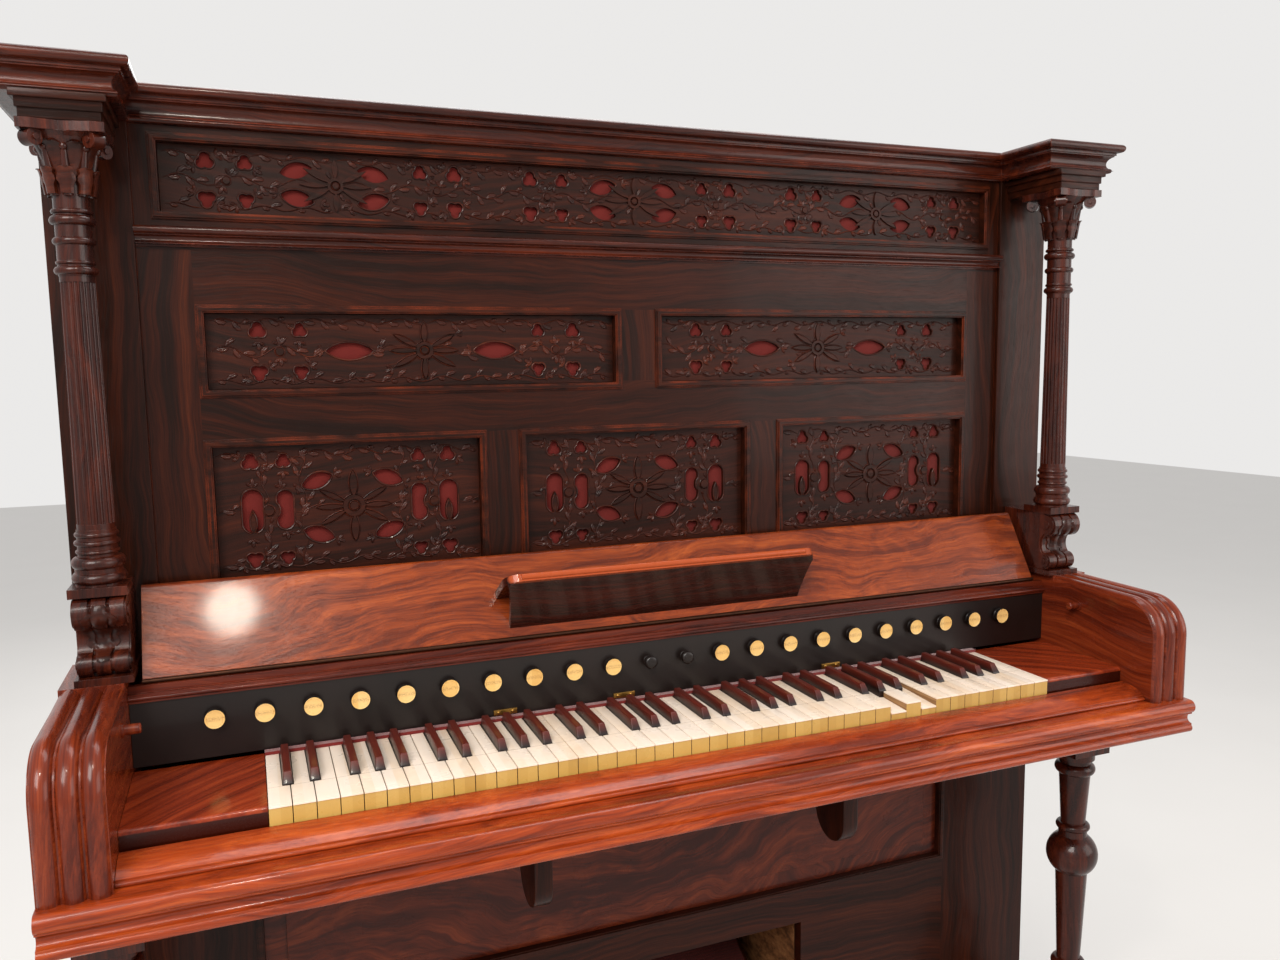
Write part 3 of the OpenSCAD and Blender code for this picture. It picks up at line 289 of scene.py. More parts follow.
def wood(name, dark, mid, light, grain="X", upright=(), seed=0.0, rough=0.32, coat=0.05, spec=0.22,
         edge=0.0009, pores=0.5, streak=105.0, flow=1.0, figure=0.0, ground=0.0, dark_below=None,
         highlight_line=None, wear_and_sheen=None):
    """Veneer or solid wood: fine streaks that drift along the grain, pores, and edges that are
    rubbed lighter: to the light tone as wear, or more strongly to a given tone that is wear and a
    painted highlight along the edges in one. The grain runs along one axis, and along Z inside the
    upright boxes, given as (left, right, bottom, top) in millimetres. streak is the number of
    streaks in a metre, flow how far they drift, figure how much they curl and ground the number of
    punch marks in a metre. Below dark_below the wood is made much darker, and along a line through
    a given place (y, z) it is painted lighter, a painted highlight."""
    t = Tree(name)
    x, y, z = t.split(t.object)
    if grain == "X":
        along, across, deep = x, z, y
    elif grain == "Y":
        along, across, deep = y, x, z
    elif grain == "Z":
        along, across, deep = z, x, y
    elif grain == "book":
        # Matched halves, with the grain running out from the middle towards the player
        run, rise = 0.72, 0.69
        ax = t.math("ABSOLUTE", x)
        along = t.math("MULTIPLY_ADD", ax, run, t.math("MULTIPLY", y, -rise))
        across = t.math("MULTIPLY_ADD", ax, rise, t.math("MULTIPLY", y, run))
        deep = z
    else:
        # Bent work: up the front and back over the top, and along the sides
        nx = t.split(t.add("TexCoord").outputs["Normal"])[0]
        flank = t.math("GREATER_THAN", t.math("ABSOLUTE", nx), 0.75)
        along = t.mix_number(flank, t.math("SUBTRACT", y, z), y)
        across = t.mix_number(flank, x, z)
        deep = x
    if upright:
        mask = None
        for x0, x1, z0, z1 in upright:
            a, b = P(x0, 0, z0), P(x1, 0, z1)
            inside = None
            for c, least, most in ((x, a.x, b.x), (z, a.z, b.z)):
                above = t.math("GREATER_THAN", c, least)
                within = t.math("MULTIPLY", above, t.math("LESS_THAN", c, most))
                inside = within if inside is None else t.math("MULTIPLY", inside, within)
            mask = inside if mask is None else t.math("MAXIMUM", mask, inside)
        along, across = t.mix_number(mask, along, z), t.mix_number(mask, across, x)
        # Another stretch of the noise, so that no streak runs on across a joint
        along = t.math("ADD", along, t.math("MULTIPLY", mask, 3.7))
    v = t.scaled(t.join(along, across, deep), (1, 1, 1), (seed, seed * 0.37, seed * 0.61))
    a, c, d = t.split(v)
    drift = t.noise(t.scaled(v, (1.7, 2.6, 2.6)), 1.0, 2, 0.5)
    wave = t.noise(t.scaled(v, (8, 9, 9)), 1.0, 2, 0.5)
    c = t.math("ADD", c, t.math("MULTIPLY_ADD", drift, 0.16 * flow, -0.08 * flow))
    c = t.math("ADD", c, t.math("MULTIPLY_ADD", wave, 0.03 * flow, -0.015 * flow))
    w = t.join(a, c, d)
    broad = t.noise(t.scaled(w, (1.3, streak * 0.3, streak * 0.2)), 1.0, 3, 0.55)
    lines = t.noise(t.scaled(w, (2.6, streak, streak * 0.6)), 1.0, 3, 0.6)
    fine = t.noise(t.scaled(w, (16, streak * 4.6, streak * 4)), 1.0, 2, 0.6)
    pore = t.step(t.noise(t.scaled(w, (60, 1500, 1500)), 1.0, 1, 0.5), 0.58, 0.72)
    tone = t.math("MULTIPLY_ADD", lines, 0.42, t.math("MULTIPLY", fine, 0.24))
    tone = t.math("MULTIPLY_ADD", broad, 0.34, tone)
    if figure:
        swirl = t.noise(t.scaled(w, (4.5, 15, 15)), 1.0, 3, 0.55, 1.4)
        ring = t.math("SINE", t.math("MULTIPLY", swirl, 34.0))
        tone = t.math("MULTIPLY_ADD", ring, 0.04 * figure, tone)
    colour = t.ramp(tone, [(0.3, darker(dark, 0.65)), (0.42, dark), (0.52, mid), (0.66, light)])
    colour = t.mix(t.math("MULTIPLY", pore, pores), colour, darker(dark, 0.55))
    # Much darker below the given height
    if dark_below is not None:
        low = t.step(z, P(0, 0, dark_below).z, P(0, 0, dark_below - 1.2).z)
        colour = t.mix(low, colour, darker(dark, 0.22))
    # A painted highlight: wood within 8.5 mm of a line along X through the given place is painted
    # light orange
    if highlight_line is not None:
        at, reach = P(0, *highlight_line), 0.0085
        off = t.math("SQRT", t.math("ADD", t.math("POWER", t.math("SUBTRACT", y, at.y), 2),
                                    t.math("POWER", t.math("SUBTRACT", z, at.z), 2)))
        colour = t.mix(t.step(off, reach, reach * 0.6), colour, srgb(168, 74, 34))
    dull = t.noise(v, 21, 3, 0.6)
    r = t.math("MULTIPLY_ADD", dull, 0.22, rough - 0.1)
    r = t.math("MULTIPLY_ADD", pore, 0.15, r)
    height = t.math("MULTIPLY_ADD", pore, -0.6, t.math("MULTIPLY", fine, 0.5))
    if ground:
        punch = t.add("TexVoronoi")
        t.put(punch.inputs["Vector"], t.object)
        punch.inputs["Scale"].default_value = ground
        height = t.math("MULTIPLY_ADD", t.step(punch.outputs["Distance"], 0.0, 0.5), 1.6, height)
    if edge:
        soft = t.add("Bevel", samples=4)
        soft.inputs["Radius"].default_value = edge * 1.6
        turn = t.add("VectorMath", operation="DOT_PRODUCT")
        t.put(turn.inputs[0], soft.outputs[0])
        t.put(turn.inputs[1], t.add("NewGeometry").outputs["Normal"])
        near_edge = t.step(turn.outputs["Value"], 0.985, 0.9)
        # Edges lighter in patches: wear, and with a given tone a stronger painted highlight along
        # them
        edge_wear_and_highlight = t.math("MULTIPLY", near_edge, t.step(dull, 0.42, 0.66))
        colour = t.mix(t.math("MULTIPLY", edge_wear_and_highlight, 0.8 if wear_and_sheen else 0.4), colour, wear_and_sheen or light)
    t.bump(height, 0.25, 0.0004, edge)
    return t.shade(colour, r, coat=coat, spec=spec)


# Dark, middle and light tones
CASE = (srgb(28, 10, 4), srgb(47, 17, 7), srgb(70, 29, 13))
RAIL = (srgb(38, 12, 7), srgb(62, 22, 11), srgb(94, 38, 20))
REDDISH = (srgb(108, 36, 12), srgb(151, 57, 20), srgb(192, 88, 36))
FIGURED = (srgb(94, 34, 12), srgb(136, 57, 21), srgb(174, 83, 34))
# Lighter edges of the framed fronts and of the mouldings: wear, and a painted highlight along them
EDGE_WEAR_AND_HIGHLIGHT = srgb(132, 52, 23)

# The upright members of the framed fronts
POST_IN = 612
GRILLE_UPRIGHT = [(-POST_IN, -554.5, 80, 580), (554.5, POST_IN, 80, 580),
                  (-24.5, 24.5, 420, 516), (171.5, 216, 182, 358), (-216, -171.5, 182, 358)]
FRIEZE_UPRIGHT = [(-POST_IN, -593.5, 590, 730), (593.5, POST_IN, 590, 730)]
LOWER_UPRIGHT = [(-700, -529, -700, -80), (529, 700, -700, -80)]

case_x = wood("case_wood_across", *CASE, grain="X", seed=1.3, spec=0.14)
case_z = wood("case_wood_upright", *CASE, grain="Z", seed=4.1, spec=0.14)
case_y = wood("case_wood_deep", *CASE, grain="Y", seed=7.7, spec=0.14)
fall_rail_wood = wood("fall_rail_wood", srgb(50, 15, 8), srgb(84, 28, 14), srgb(116, 46, 23),
                      grain="X", seed=21.4, rough=0.22, coat=0.15)
rail_wood = wood("rail_wood", *RAIL, grain="X", seed=2.9, rough=0.24, coat=0.15, edge=0.0012,
                 wear_and_sheen=EDGE_WEAR_AND_HIGHLIGHT)
grille_wood = wood("grille_frame_wood", *CASE, grain="X", seed=2.2, spec=0.14, edge=0.0015,
                   wear_and_sheen=EDGE_WEAR_AND_HIGHLIGHT, upright=GRILLE_UPRIGHT)
frieze_wood = wood("frieze_frame_wood", *CASE, grain="X", seed=8.4, spec=0.14, edge=0.0015,
                   wear_and_sheen=EDGE_WEAR_AND_HIGHLIGHT, upright=FRIEZE_UPRIGHT)
lower_wood = wood("lower_frame_wood", *CASE, grain="X", seed=5.2, spec=0.14,
                  upright=LOWER_UPRIGHT)
fret_wood = wood("fretwork_wood", srgb(28, 10, 4), srgb(46, 17, 8), srgb(68, 28, 14), grain="X",
                 seed=3.1, rough=0.4, coat=0.05, spec=0.14, edge=0.0006, ground=700)
carved_wood = wood("carved_wood", srgb(34, 12, 7), srgb(58, 22, 12), srgb(88, 38, 21), grain="X",
                   seed=3.6, rough=0.3, coat=0.1, edge=0.0004)
turned_wood = wood("turned_wood", *RAIL, grain="Z", seed=14.6, rough=0.26, coat=0.2)
cheek_wood = wood("cheek_wood", srgb(84, 27, 12), srgb(116, 43, 19), srgb(152, 68, 32),
                  grain="bend", seed=6.6, rough=0.24, coat=0.2)
keybed_wood = wood("keybed_wood", *REDDISH, grain="X", seed=9.2, rough=0.24, coat=0.25,
                   streak=85)
fall_wood = wood("fall_veneer", *FIGURED, grain="X", seed=11.35, rough=0.27, coat=0.15,
                 streak=92, flow=1.7, figure=0.55)
block_wood = wood("key_block_veneer", srgb(104, 33, 14), srgb(140, 50, 22), srgb(176, 76, 36),
                  grain="book", seed=12.8, rough=0.24, coat=0.2, streak=120, flow=0.8,
                  dark_below=-4.5)
ledge_wood = wood("ledge_wood", srgb(32, 10, 6), srgb(52, 17, 10), srgb(76, 29, 16), grain="X",
                  seed=13.3, rough=0.24, coat=0.15, highlight_line=(138.2, 183.1))
panel_wood = wood("lower_panel_veneer", srgb(58, 19, 10), srgb(88, 33, 16), srgb(126, 56, 27),
                  grain="X", seed=15.1, streak=70, flow=2.2, figure=0.7, rough=0.28)
plain_wood = wood("plain_wood", srgb(74, 44, 25), srgb(122, 80, 48), srgb(156, 110, 70), grain="X",
                  seed=17.0, rough=0.6, coat=0.0, pores=0.3)
back_wood = wood("back_wood", srgb(66, 37, 23), srgb(86, 51, 32), srgb(108, 68, 43), grain="Z",
                 seed=18.0, rough=0.6, coat=0.0, streak=85, flow=0.7)


def ebony():
    t = Tree("ebonised_wood")
    v = t.scaled(t.object, (1 / 20, 1, 1))
    fibre = t.noise(v, 600, 2, 0.6)
    cloud = t.noise(t.object, 12, 3, 0.6)
    colour = t.mix(cloud, srgb(10, 7, 7), srgb(30, 19, 15))
    t.bump(fibre, 0.15, 0.0004, 0.0006)
    return t.shade(colour, t.math("MULTIPLY_ADD", cloud, 0.22, 0.26), coat=0.1, spec=0.35)


def black_key_wood():
    t = Tree("black_key_wood")
    z = t.split(t.object)[2]
    fibre = t.noise(t.scaled(t.object, (1, 1 / 25, 1)), 900, 2, 0.6)
    wear_and_sheen = t.noise(t.object, 60, 2, 0.5)
    # A painted highlight: the tops are painted a lighter red than the dark sides, as light from
    # above would show
    top = t.step(z, P(0, 0, 2).z, P(0, 0, 11).z)
    colour = t.mix(t.math("MULTIPLY", fibre, 0.8), srgb(14, 6, 5), srgb(34, 13, 10))
    colour = t.mix(t.math("MULTIPLY", top, 0.8), colour,
                   t.mix(fibre, srgb(60, 16, 10), srgb(118, 40, 26)))
    t.bump(fibre, 0.2, 0.0003)
    return t.shade(colour, t.math("MULTIPLY_ADD", wear_and_sheen, 0.25, 0.24), coat=0.12, spec=0.4)


def ivory(name, pale, warm, deep, joint=None, veins=0.14, stain=None):
    """Aged ivory: fine wavy grain along the key, yellowed in patches. joint is where the line
    between a key's head and tail runs, and stain the height of a line of dirt across the
    middle of the stops' faces."""
    t = Tree(name)
    x, y, z = t.split(t.object)
    v = t.scaled(t.object, (1, 1 / 9, 1))
    grain = t.noise(v, 420, 2, 0.5, 0.4)
    key = t.add("TexWhiteNoise", noise_dimensions="1D")
    t.put(key.inputs["W"], t.math("FLOOR", t.math("DIVIDE", x, KEY_PITCH)))
    patch = t.noise(t.object, 26, 3, 0.6)
    own = t.math("MULTIPLY", key.outputs["Value"], 0.45)
    tone = t.math("ADD", own, t.math("MULTIPLY", patch, 0.6))
    colour = t.ramp(tone, [(0.2, pale), (0.6, warm), (0.98, deep)])
    colour = t.mix(t.math("MULTIPLY", t.step(grain, 0.45, 0.75), veins), colour, deep)
    if stain is not None:
        off = t.math("ABSOLUTE", t.math("SUBTRACT", z, P(0, 0, stain).z))
        specks = t.step(t.noise(t.object, 700, 2, 0.5), 0.4, 0.6)
        dirt = t.math("MULTIPLY", t.step(off, 0.0034, 0.0008), specks)
        colour = t.mix(t.math("MULTIPLY", dirt, 0.45), colour, srgb(132, 78, 34))
    if joint is not None:
        at = P(0, joint, 0).y
        near = t.math("ABSOLUTE", t.math("SUBTRACT", y, at))
        colour = t.mix(t.step(near, 0.00032, 0.00012), colour, srgb(120, 92, 60))
    t.bump(grain, 0.06, 0.0003)
    return t.shade(colour, t.math("MULTIPLY_ADD", patch, 0.18, 0.2), coat=0.2)


ivory_top = ivory("ivory_key_tops", srgb(247, 233, 219), srgb(243, 225, 205),
                  srgb(228, 200, 168), joint=50, veins=0.06)
ivory_front = ivory("ivory_key_fronts", srgb(208, 172, 94), srgb(200, 162, 84),
                    srgb(176, 136, 64), veins=0.1)
ivory_stop = ivory("ivory_stop_faces", srgb(242, 205, 136), srgb(236, 192, 114),
                   srgb(212, 160, 82), stain=50.8)
ebony_wood = ebony()
sharp_wood = black_key_wood()


def key_side_wood():
    t = Tree("key_side_wood")
    fibre = t.noise(t.scaled(t.object, (1, 1 / 30, 1)), 500, 2, 0.6)
    colour = t.ramp(fibre, [(0.3, srgb(120, 82, 48)), (0.7, srgb(178, 136, 90))])
    t.bump(fibre, 0.2, 0.0004)
    return t.shade(colour, 0.6)


def metal(name, bright, tarnished, scale, rough, weight, scratched=False):
    t = Tree(name)
    n = t.noise(t.object, scale, 3, 0.6)
    if scratched:
        t.bump(t.noise(t.object, 900, 2, 0.5), 0.08, 0.0003, 0.0003)
    r = t.math("MULTIPLY_ADD", n, 0.3, rough)
    return t.shade(t.mix(n, bright, tarnished), r, metal=weight)


def felt():
    t = Tree("red_felt")
    fuzz = t.noise(t.object, 1400, 2, 0.7)
    patch = t.noise(t.object, 40, 3, 0.6)
    colour = t.mix(patch, srgb(118, 14, 12), srgb(78, 8, 8))
    colour = t.mix(t.math("MULTIPLY", fuzz, 0.5), colour, srgb(150, 32, 26))
    t.bump(fuzz, 0.6, 0.0006)
    return t.shade(colour, 0.95, spec=0.2, sheen=0.6)


def woven(name, dark, light, pitch, sheen):
    """Plain weave of threads along X and Z."""
    t = Tree(name)
    x, _, z = t.split(t.object)
    u = t.math("MULTIPLY", x, math.pi / pitch)
    w = t.math("MULTIPLY", z, math.pi / pitch)
    a = t.math("ABSOLUTE", t.math("SINE", u))
    b = t.math("ABSOLUTE", t.math("SINE", w))
    both = t.math("MULTIPLY", t.math("SINE", u), t.math("SINE", w))
    over = t.math("GREATER_THAN", both, 0.0)
    thread = t.mix_number(over, a, b)
    slack = t.noise(t.object, 9, 3, 0.6)
    colour = t.mix(thread, dark, light)
    colour = t.mix(t.math("MULTIPLY", slack, 0.5), colour, dark)
    t.bump(t.math("ADD", thread, t.math("MULTIPLY", slack, 6.0)), 0.5, 0.0006)
    return t.shade(colour, 0.8, spec=0.3, sheen=sheen)


side_wood = key_side_wood()
brass_metal = metal("old_brass", srgb(196, 152, 78), srgb(120, 84, 40), 90, 0.2, 1.0,
                    scratched=True)
steel_metal = metal("dull_steel", srgb(150, 146, 140), srgb(86, 80, 76), 120, 0.25, 1.0)
red_felt = felt()
red_cloth = woven("red_grille_cloth", srgb(58, 8, 5), srgb(124, 23, 13), 0.0011, 0.1)
hinge_metal = metal("dark_hinge_bronze", srgb(74, 42, 24), srgb(38, 20, 13), 160, 0.3, 0.8)
carpet = woven("worn_carpet", srgb(42, 9, 8), srgb(96, 26, 21), 0.0026, 0.1)

FINISH = {
    "left_side": case_z, "right_side": case_z, "back_panel": back_wood, "bottom_board": plain_wood,
    "corner_posts": case_z, "grille_frame": grille_wood, "upper_frets": fret_wood,
    "lower_frets": fret_wood, "grille_cloth": red_cloth, "mid_rail": rail_wood,
    "frieze_frame": frieze_wood, "frieze_fret": fret_wood, "impost_blocks": case_x,
    "cornice": rail_wood, "left_column": turned_wood, "right_column": turned_wood,
    "scroll_brackets": turned_wood, "left_cheek": cheek_wood, "right_cheek": cheek_wood,
    "keybed": keybed_wood, "key_slip": keybed_wood, "key_blocks": block_wood,
    "key_frame": plain_wood, "white_keys": ivory_top, "black_keys": sharp_wood,
    "key_felt": red_felt, "stop_board": ebony_wood, "black_knobs": ebony_wood,
    "fall_rail": fall_rail_wood, "hinge_rod": hinge_metal, "fall_rests": cheek_wood,
    "fall_leaf": fall_wood, "music_ledge": ledge_wood, "front_legs": turned_wood,
    "toe_blocks": case_y, "lower_frame": lower_wood, "lower_panel": panel_wood,
    "pedal_recess": plain_wood, "treadles": case_y, "knee_levers": case_z,
}
for n, o in NODES.items():
    o.data.materials.clear()
    o.data.materials.append(FINISH.get(n, ivory_stop))


# Mesh tools

def piece(name, source, mats, body, smooth=40):
    """An object made of a bmesh, riding on a body, smooth where it turns less than so many
    degrees."""
    bmesh.ops.recalc_face_normals(source, faces=source.faces)
    me = bpy.data.meshes.new(name)
    source.to_mesh(me)
    source.free()
    o = bpy.data.objects.new(name, me)
    scene.collection.objects.link(o)
    for m in mats:
        me.materials.append(m)
    me.shade_smooth()
    me.set_sharp_from_angle(angle=math.radians(smooth))
    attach(o, body)
    return o


def solid_of(node):
    """A node's form with the flat faces made whole again."""
    bm = bmesh.new()
    bm.from_mesh(NODES[node].data)
    bmesh.ops.remove_doubles(bm, verts=bm.verts, dist=2e-6)
    bmesh.ops.dissolve_limit(bm, angle_limit=math.radians(0.6), verts=bm.verts, edges=bm.edges)
    return bm


def round_edges(bm, edges, width, segments=2):
    bmesh.ops.bevel(bm, geom=edges, offset=width, offset_type="OFFSET", segments=segments,
                    profile=0.6, affect="EDGES", clamp_overlap=True, miter_outer="ARC")


def eased(node, width, segments=2):
    """A node's own form with its sharp edges rounded off, in its place."""
    bm, least = solid_of(node), math.radians(32)
    sharp = [e for e in bm.edges if len(e.link_faces) == 2 and e.calc_face_angle(0) > least]
    round_edges(bm, sharp, width, segments)
    o = piece(node + "_eased", bm, [FINISH[node]], NODES[node]["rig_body"])
    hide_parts(node)


def islands(bm):
    """The separate solids of a bmesh, each as a list of its faces."""
    bm.faces.index_update()
    left, out = {f.index: f for f in bm.faces}, []
    while left:
        todo, group = [left.pop(next(iter(left)))], []
        while todo:
            f = todo.pop()
            group.append(f)
            for e in f.edges:
                for g in e.link_faces:
                    if g.index in left:
                        todo.append(left.pop(g.index))
        out.append(group)
    return out


def skin(bm, rings, closed=True, slots=None):
    """Faces between rings of vertices; a ring of one vertex is a point."""
    for k in range(len(rings) - 1):
        a, b = rings[k], rings[k + 1]
        n = max(len(a), len(b))
        for i in range(n if closed else n - 1):
            j = (i + 1) % n
            if len(a) == 1:
                f = bm.faces.new((a[0], b[i], b[j]))
            elif len(b) == 1:
                f = bm.faces.new((a[i], b[0], a[j]))
            else:
                f = bm.faces.new((a[i], b[i], b[j], a[j]))
            f.material_index = slots[k] if slots else 0


def lathe(bm, profile, at, axis, turns=48, slots=None):
    """Turns (distance along, radius) pairs about a line that starts at a point."""
    axis = Vector(axis).normalized()
    side = axis.orthogonal().normalized()
    other = axis.cross(side)
    rings = []
    for dist, r in profile:
        if r < 1e-7:
            rings.append([bm.verts.new(at + axis * dist)])
        else:
            centre = at + axis * dist
            rings.append([bm.verts.new(centre + (side * math.cos(a) + other * math.sin(a)) * r)
                          for a in (math.tau * i / turns for i in range(turns))])
    skin(bm, rings, slots=slots)


def capped_skin(bm, rings):
    """A skin over open rings, closed at its first and last ring."""
    skin(bm, rings, closed=False)
    for end in (rings[0], rings[-1]):
        bm.faces.new(end)


def edges_of(faces):
    return list(dict.fromkeys(e for f in faces for e in f.edges))


def block(bm, low, high):
    """A box between two corners; gives its edges."""
    v = [bm.verts.new((x, y, z)) for x in (low[0], high[0]) for y in (low[1], high[1])
         for z in (low[2], high[2])]
    faces = [bm.faces.new([v[i] for i in q]) for q in
             ((0, 1, 3, 2), (4, 6, 7, 5), (0, 4, 5, 1), (2, 3, 7, 6), (0, 2, 6, 4), (1, 5, 7, 3))]
    return edges_of(faces)


def surface(node):
    """A node's form, for finding where a line meets it."""
    me = NODES[node].data
    me.calc_loop_triangles()
    return BVHTree.FromPolygons([v.co.copy() for v in me.vertices],
                                [tuple(t.vertices) for t in me.loop_triangles])


# Keys

PLATE_T, PLATE_LIP = 0.0019, 0.0009


def white_keys():
    """Each white key as a wooden body under an ivory plate whose front edge stands a
    little proud, with its front faced in yellowed ivory."""
    src, out = solid_of("white_keys"), bmesh.new()
    for group in islands(src):
        top = max((f for f in group if f.normal.z > 0.9), key=lambda f: f.calc_area())
        up = top.normal.copy()
        outline = [v.co.copy() for v in top.verts]
        depth = max((outline[0] - v.co).dot(up) for f in group for v in f.verts)
        ahead = (Vector((0, -1, 0)) - up * -up.y).normalized()
        reach = max(p.dot(ahead) for p in outline)
        over = [p + ahead * PLATE_LIP if p.dot(ahead) > reach - 0.001 else p for p in outline]
        for rim, high, low, is_plate in ((over, 0.0, PLATE_T, True),
                                         (outline, PLATE_T, depth, False)):
            a = [out.verts.new(p - up * high) for p in rim]
            b = [out.verts.new(p - up * low) for p in rim]
            n = len(rim)
            faces = [out.faces.new(a), out.faces.new(b[::-1])]
            faces += [out.faces.new((a[i], b[i], b[(i + 1) % n], a[(i + 1) % n]))
                      for i in range(n)]
            if is_plate:
                rim_edges = [e for e in edges_of(faces) if any(v in a for v in e.verts)]
                round_edges(out, rim_edges, 0.0005)
                continue
            for f in faces:
                f.normal_update()
                is_front = (abs(f.normal.dot(ahead)) > 0.9
                            and all(v.co.dot(ahead) > reach - 0.002 for v in f.verts))
                f.material_index = 2 if is_front else 1
    src.free()
    o = piece("white_key_plates", out, [ivory_top, side_wood, ivory_front], "case", 30)
    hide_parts("white_keys")


white_keys()
eased("black_keys", 0.0012, 3)


# Stops

STOP_BOARD_Y = 155.7


def stop_heads():
    """Each stop as an ivory disc let into a dark turned head on its rod."""
    for n in sorted(k for k in NODES if k.startswith("stop_") and k != "stop_board"):
        low, high = (Vector(c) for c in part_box(n))
        r = (high.x - low.x) / 2
        rod = r * 0.42
        at = Vector(((low.x + high.x) / 2, low.y, (low.z + high.z) / 2))
        head = P(0, STOP_BOARD_Y, 0).y - low.y
        bm = bmesh.new()
        face = [(0.0010, 0), (0.0009, 0.35 * r), (0.0007, 0.6 * r), (0.00045, 0.74 * r),
                (0.0008, 0.755 * r), (0.00045, 0.77 * r), (0.0001, 0.93 * r), (0.0008, 0.945 * r)]
        rim = [(0.0001, 0.955 * r), (0, 0.965 * r), (0.0003, 0.98 * r), (0.001, 0.995 * r),
               (0.002, r), (head * 0.62, r), (head * 0.7, 0.93 * r), (head * 0.78, r),
               (head - 0.0012, r), (head, 0.9 * r), (head, rod),
               (high.y - low.y, rod), (high.y - low.y, 0)]
        slots = [0] * (len(face) - 1) + [1] * len(rim)
        lathe(bm, face + rim, at, (0, 1, 0), 48, slots)
        o = piece(n + "_turned", bm, [ivory_stop, ebony_wood], NODES[n]["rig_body"], 50)
        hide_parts(n)


stop_heads()


# Carving

def leaf(bm, root, heading, length, width, y, bend=0.0):
    """A carved leaf that lies on an upright board at depth y: a raised form with a vein,
    lobed edges and sides that reach back into the board."""
    nu, nv, lobes, rise, depth = 9, 6, 3, 0.0016, 0.003
    at, rings, step = Vector(root), [], length / nu
    for i in range(nu + 1):
        u = i / nu
        d = Vector((math.cos(heading), math.sin(heading)))
        side = Vector((-d.y, d.x))
        half = width * math.sin(math.pi * (0.08 + 0.9 * u)) ** 0.8
        half *= 1 + 0.2 * math.cos(math.tau * lobes * u)
        row = []
        for j in range(nv + 1):
            v = -1 + 2 * j / nv
            q = at + side * half * v + d * half * 0.4 * abs(v)
            crown = rise * (1 - v * v) ** 0.5 * (0.4 + 0.6 * math.sin(math.pi * u))
            if j == nv // 2:
                crown *= 0.55
            row.append((q.x, y - crown, q.y))
        edge_a, edge_b = row[0], row[-1]
        row = [(edge_a[0], y + depth, edge_a[2])] + row + [(edge_b[0], y + depth, edge_b[2])]
        rings.append([bm.verts.new(c) for c in row])
        at = at + d * step
        heading += bend / nu
    capped_skin(bm, rings)


FRET_T = 0.005


def board_loops(node):
    """The outlines of a fret's openings on its front face."""
    bm = solid_of(node)
    bm.normal_update()
    front = max(v.co.y for v in bm.verts) - FRET_T
    bm.edges.index_update()
    left = {e.index: e for e in bm.edges
            if all(abs(v.co.y - front) < 1e-5 for v in e.verts) and len(e.link_faces) == 2
            and sum(abs(f.normal.y) > 0.95 for f in e.link_faces) == 1}
    loops = []
    while left:
        e = left.pop(next(iter(left)))
        chain = [e.verts[0], e.verts[1]]
        while True:
            near = [x for x in chain[-1].link_edges if x.index in left]
            if not near:
                break
            chain.append(left.pop(near[0].index).other_vert(chain[-1]))
        if chain[0] is chain[-1]:
            chain.pop()
        loops.append([Vector((v.co.x, v.co.z)) for v in chain])
    bm.free()
    return front, loops


def bead_round(bm, loop, y, half=0.0011, rise=0.001):
    """A small raised bead that follows an opening's edge on the board."""
    n = len(loop)
    following = loop[1:] + loop[:1]
    turn = 1 if sum(p.x * q.y - q.x * p.y for p, q in zip(loop, following)) > 0 else -1
    rings = []
    for i in range(n):
        d = loop[(i + 1) % n] - loop[i - 1]
        if d.length < 1e-9:
            continue
        d.normalize()
        out = Vector((d.y, -d.x)) * turn
        ring = []
        for o, h in ((0.00005, -0.0005), (0.15 * half, 0.5 * rise), (half, rise),
                     (1.85 * half, 0.5 * rise), (2 * half, -0.0005)):
            q = loop[i] + out * o
            ring.append(bm.verts.new((q.x, y - h, q.y)))
        rings.append(ring)
    skin(bm, rings + [rings[0]], closed=False)


def stem(bm, points, y, half=0.0009, rise=0.0011):
    """A raised half-round tendril along a run of points on the board."""
    section = ((-1, -0.0005), (-0.7, 0.7 * rise), (0, rise), (0.7, 0.7 * rise), (1, -0.0005))
    rings, last = [], len(points) - 1
    for i, p in enumerate(points):
        d = (points[min(i + 1, last)] - points[max(i - 1, 0)]).normalized()
        out = Vector((-d.y, d.x))
        taper = 0.35 + 0.65 * min(1.0, min(i, last - i) / 4)
        wide = half * taper
        rings.append([bm.verts.new((p.x + out.x * o * wide, y - h * taper, p.y + out.y * o * wide))
                      for o, h in section])
    capped_skin(bm, rings)


def unit(angle):
    return Vector((math.cos(angle), math.sin(angle)))


def leaf_fits(on_board, root, d, length, width, share):
    """Whether a leaf from root along d, with some room round it, lies on the board."""
    side = Vector((-d.y, d.x))
    spots = [root + d * length * u + side * width * v for u in share for v in (-1.1, 0, 1.1)]
    return all(on_board(q) for q in spots)


def end_leaves(bm, loop, front, on_board):
    """Three small leaves at each end of an opening."""
    xs, zs = [p.x for p in loop], [p.y for p in loop]
    c = Vector((sum(xs) / len(xs), sum(zs) / len(zs)))
    far = max(loop, key=lambda p: (p - c).length)
    axis, span = (far - c).normalized(), (far - c).length
    for sign in (1, -1):
        tip = c + axis * sign * (span + 0.0025)
        base = math.atan2(axis.y * sign, axis.x * sign)
        for off in (-0.75, 0.0, 0.75):
            length, width = (0.0105, 0.0026) if off == 0 else (0.0085, 0.0022)
            root = tip + unit(base + off) * 0.001
            if leaf_fits(on_board, root, unit(base + off), length, width * 1.15 / 1.1,
                         (0.0, 0.35, 0.7, 1.15)):
                leaf(bm, root, base + off, length, width, front, bend=0.5 * off)


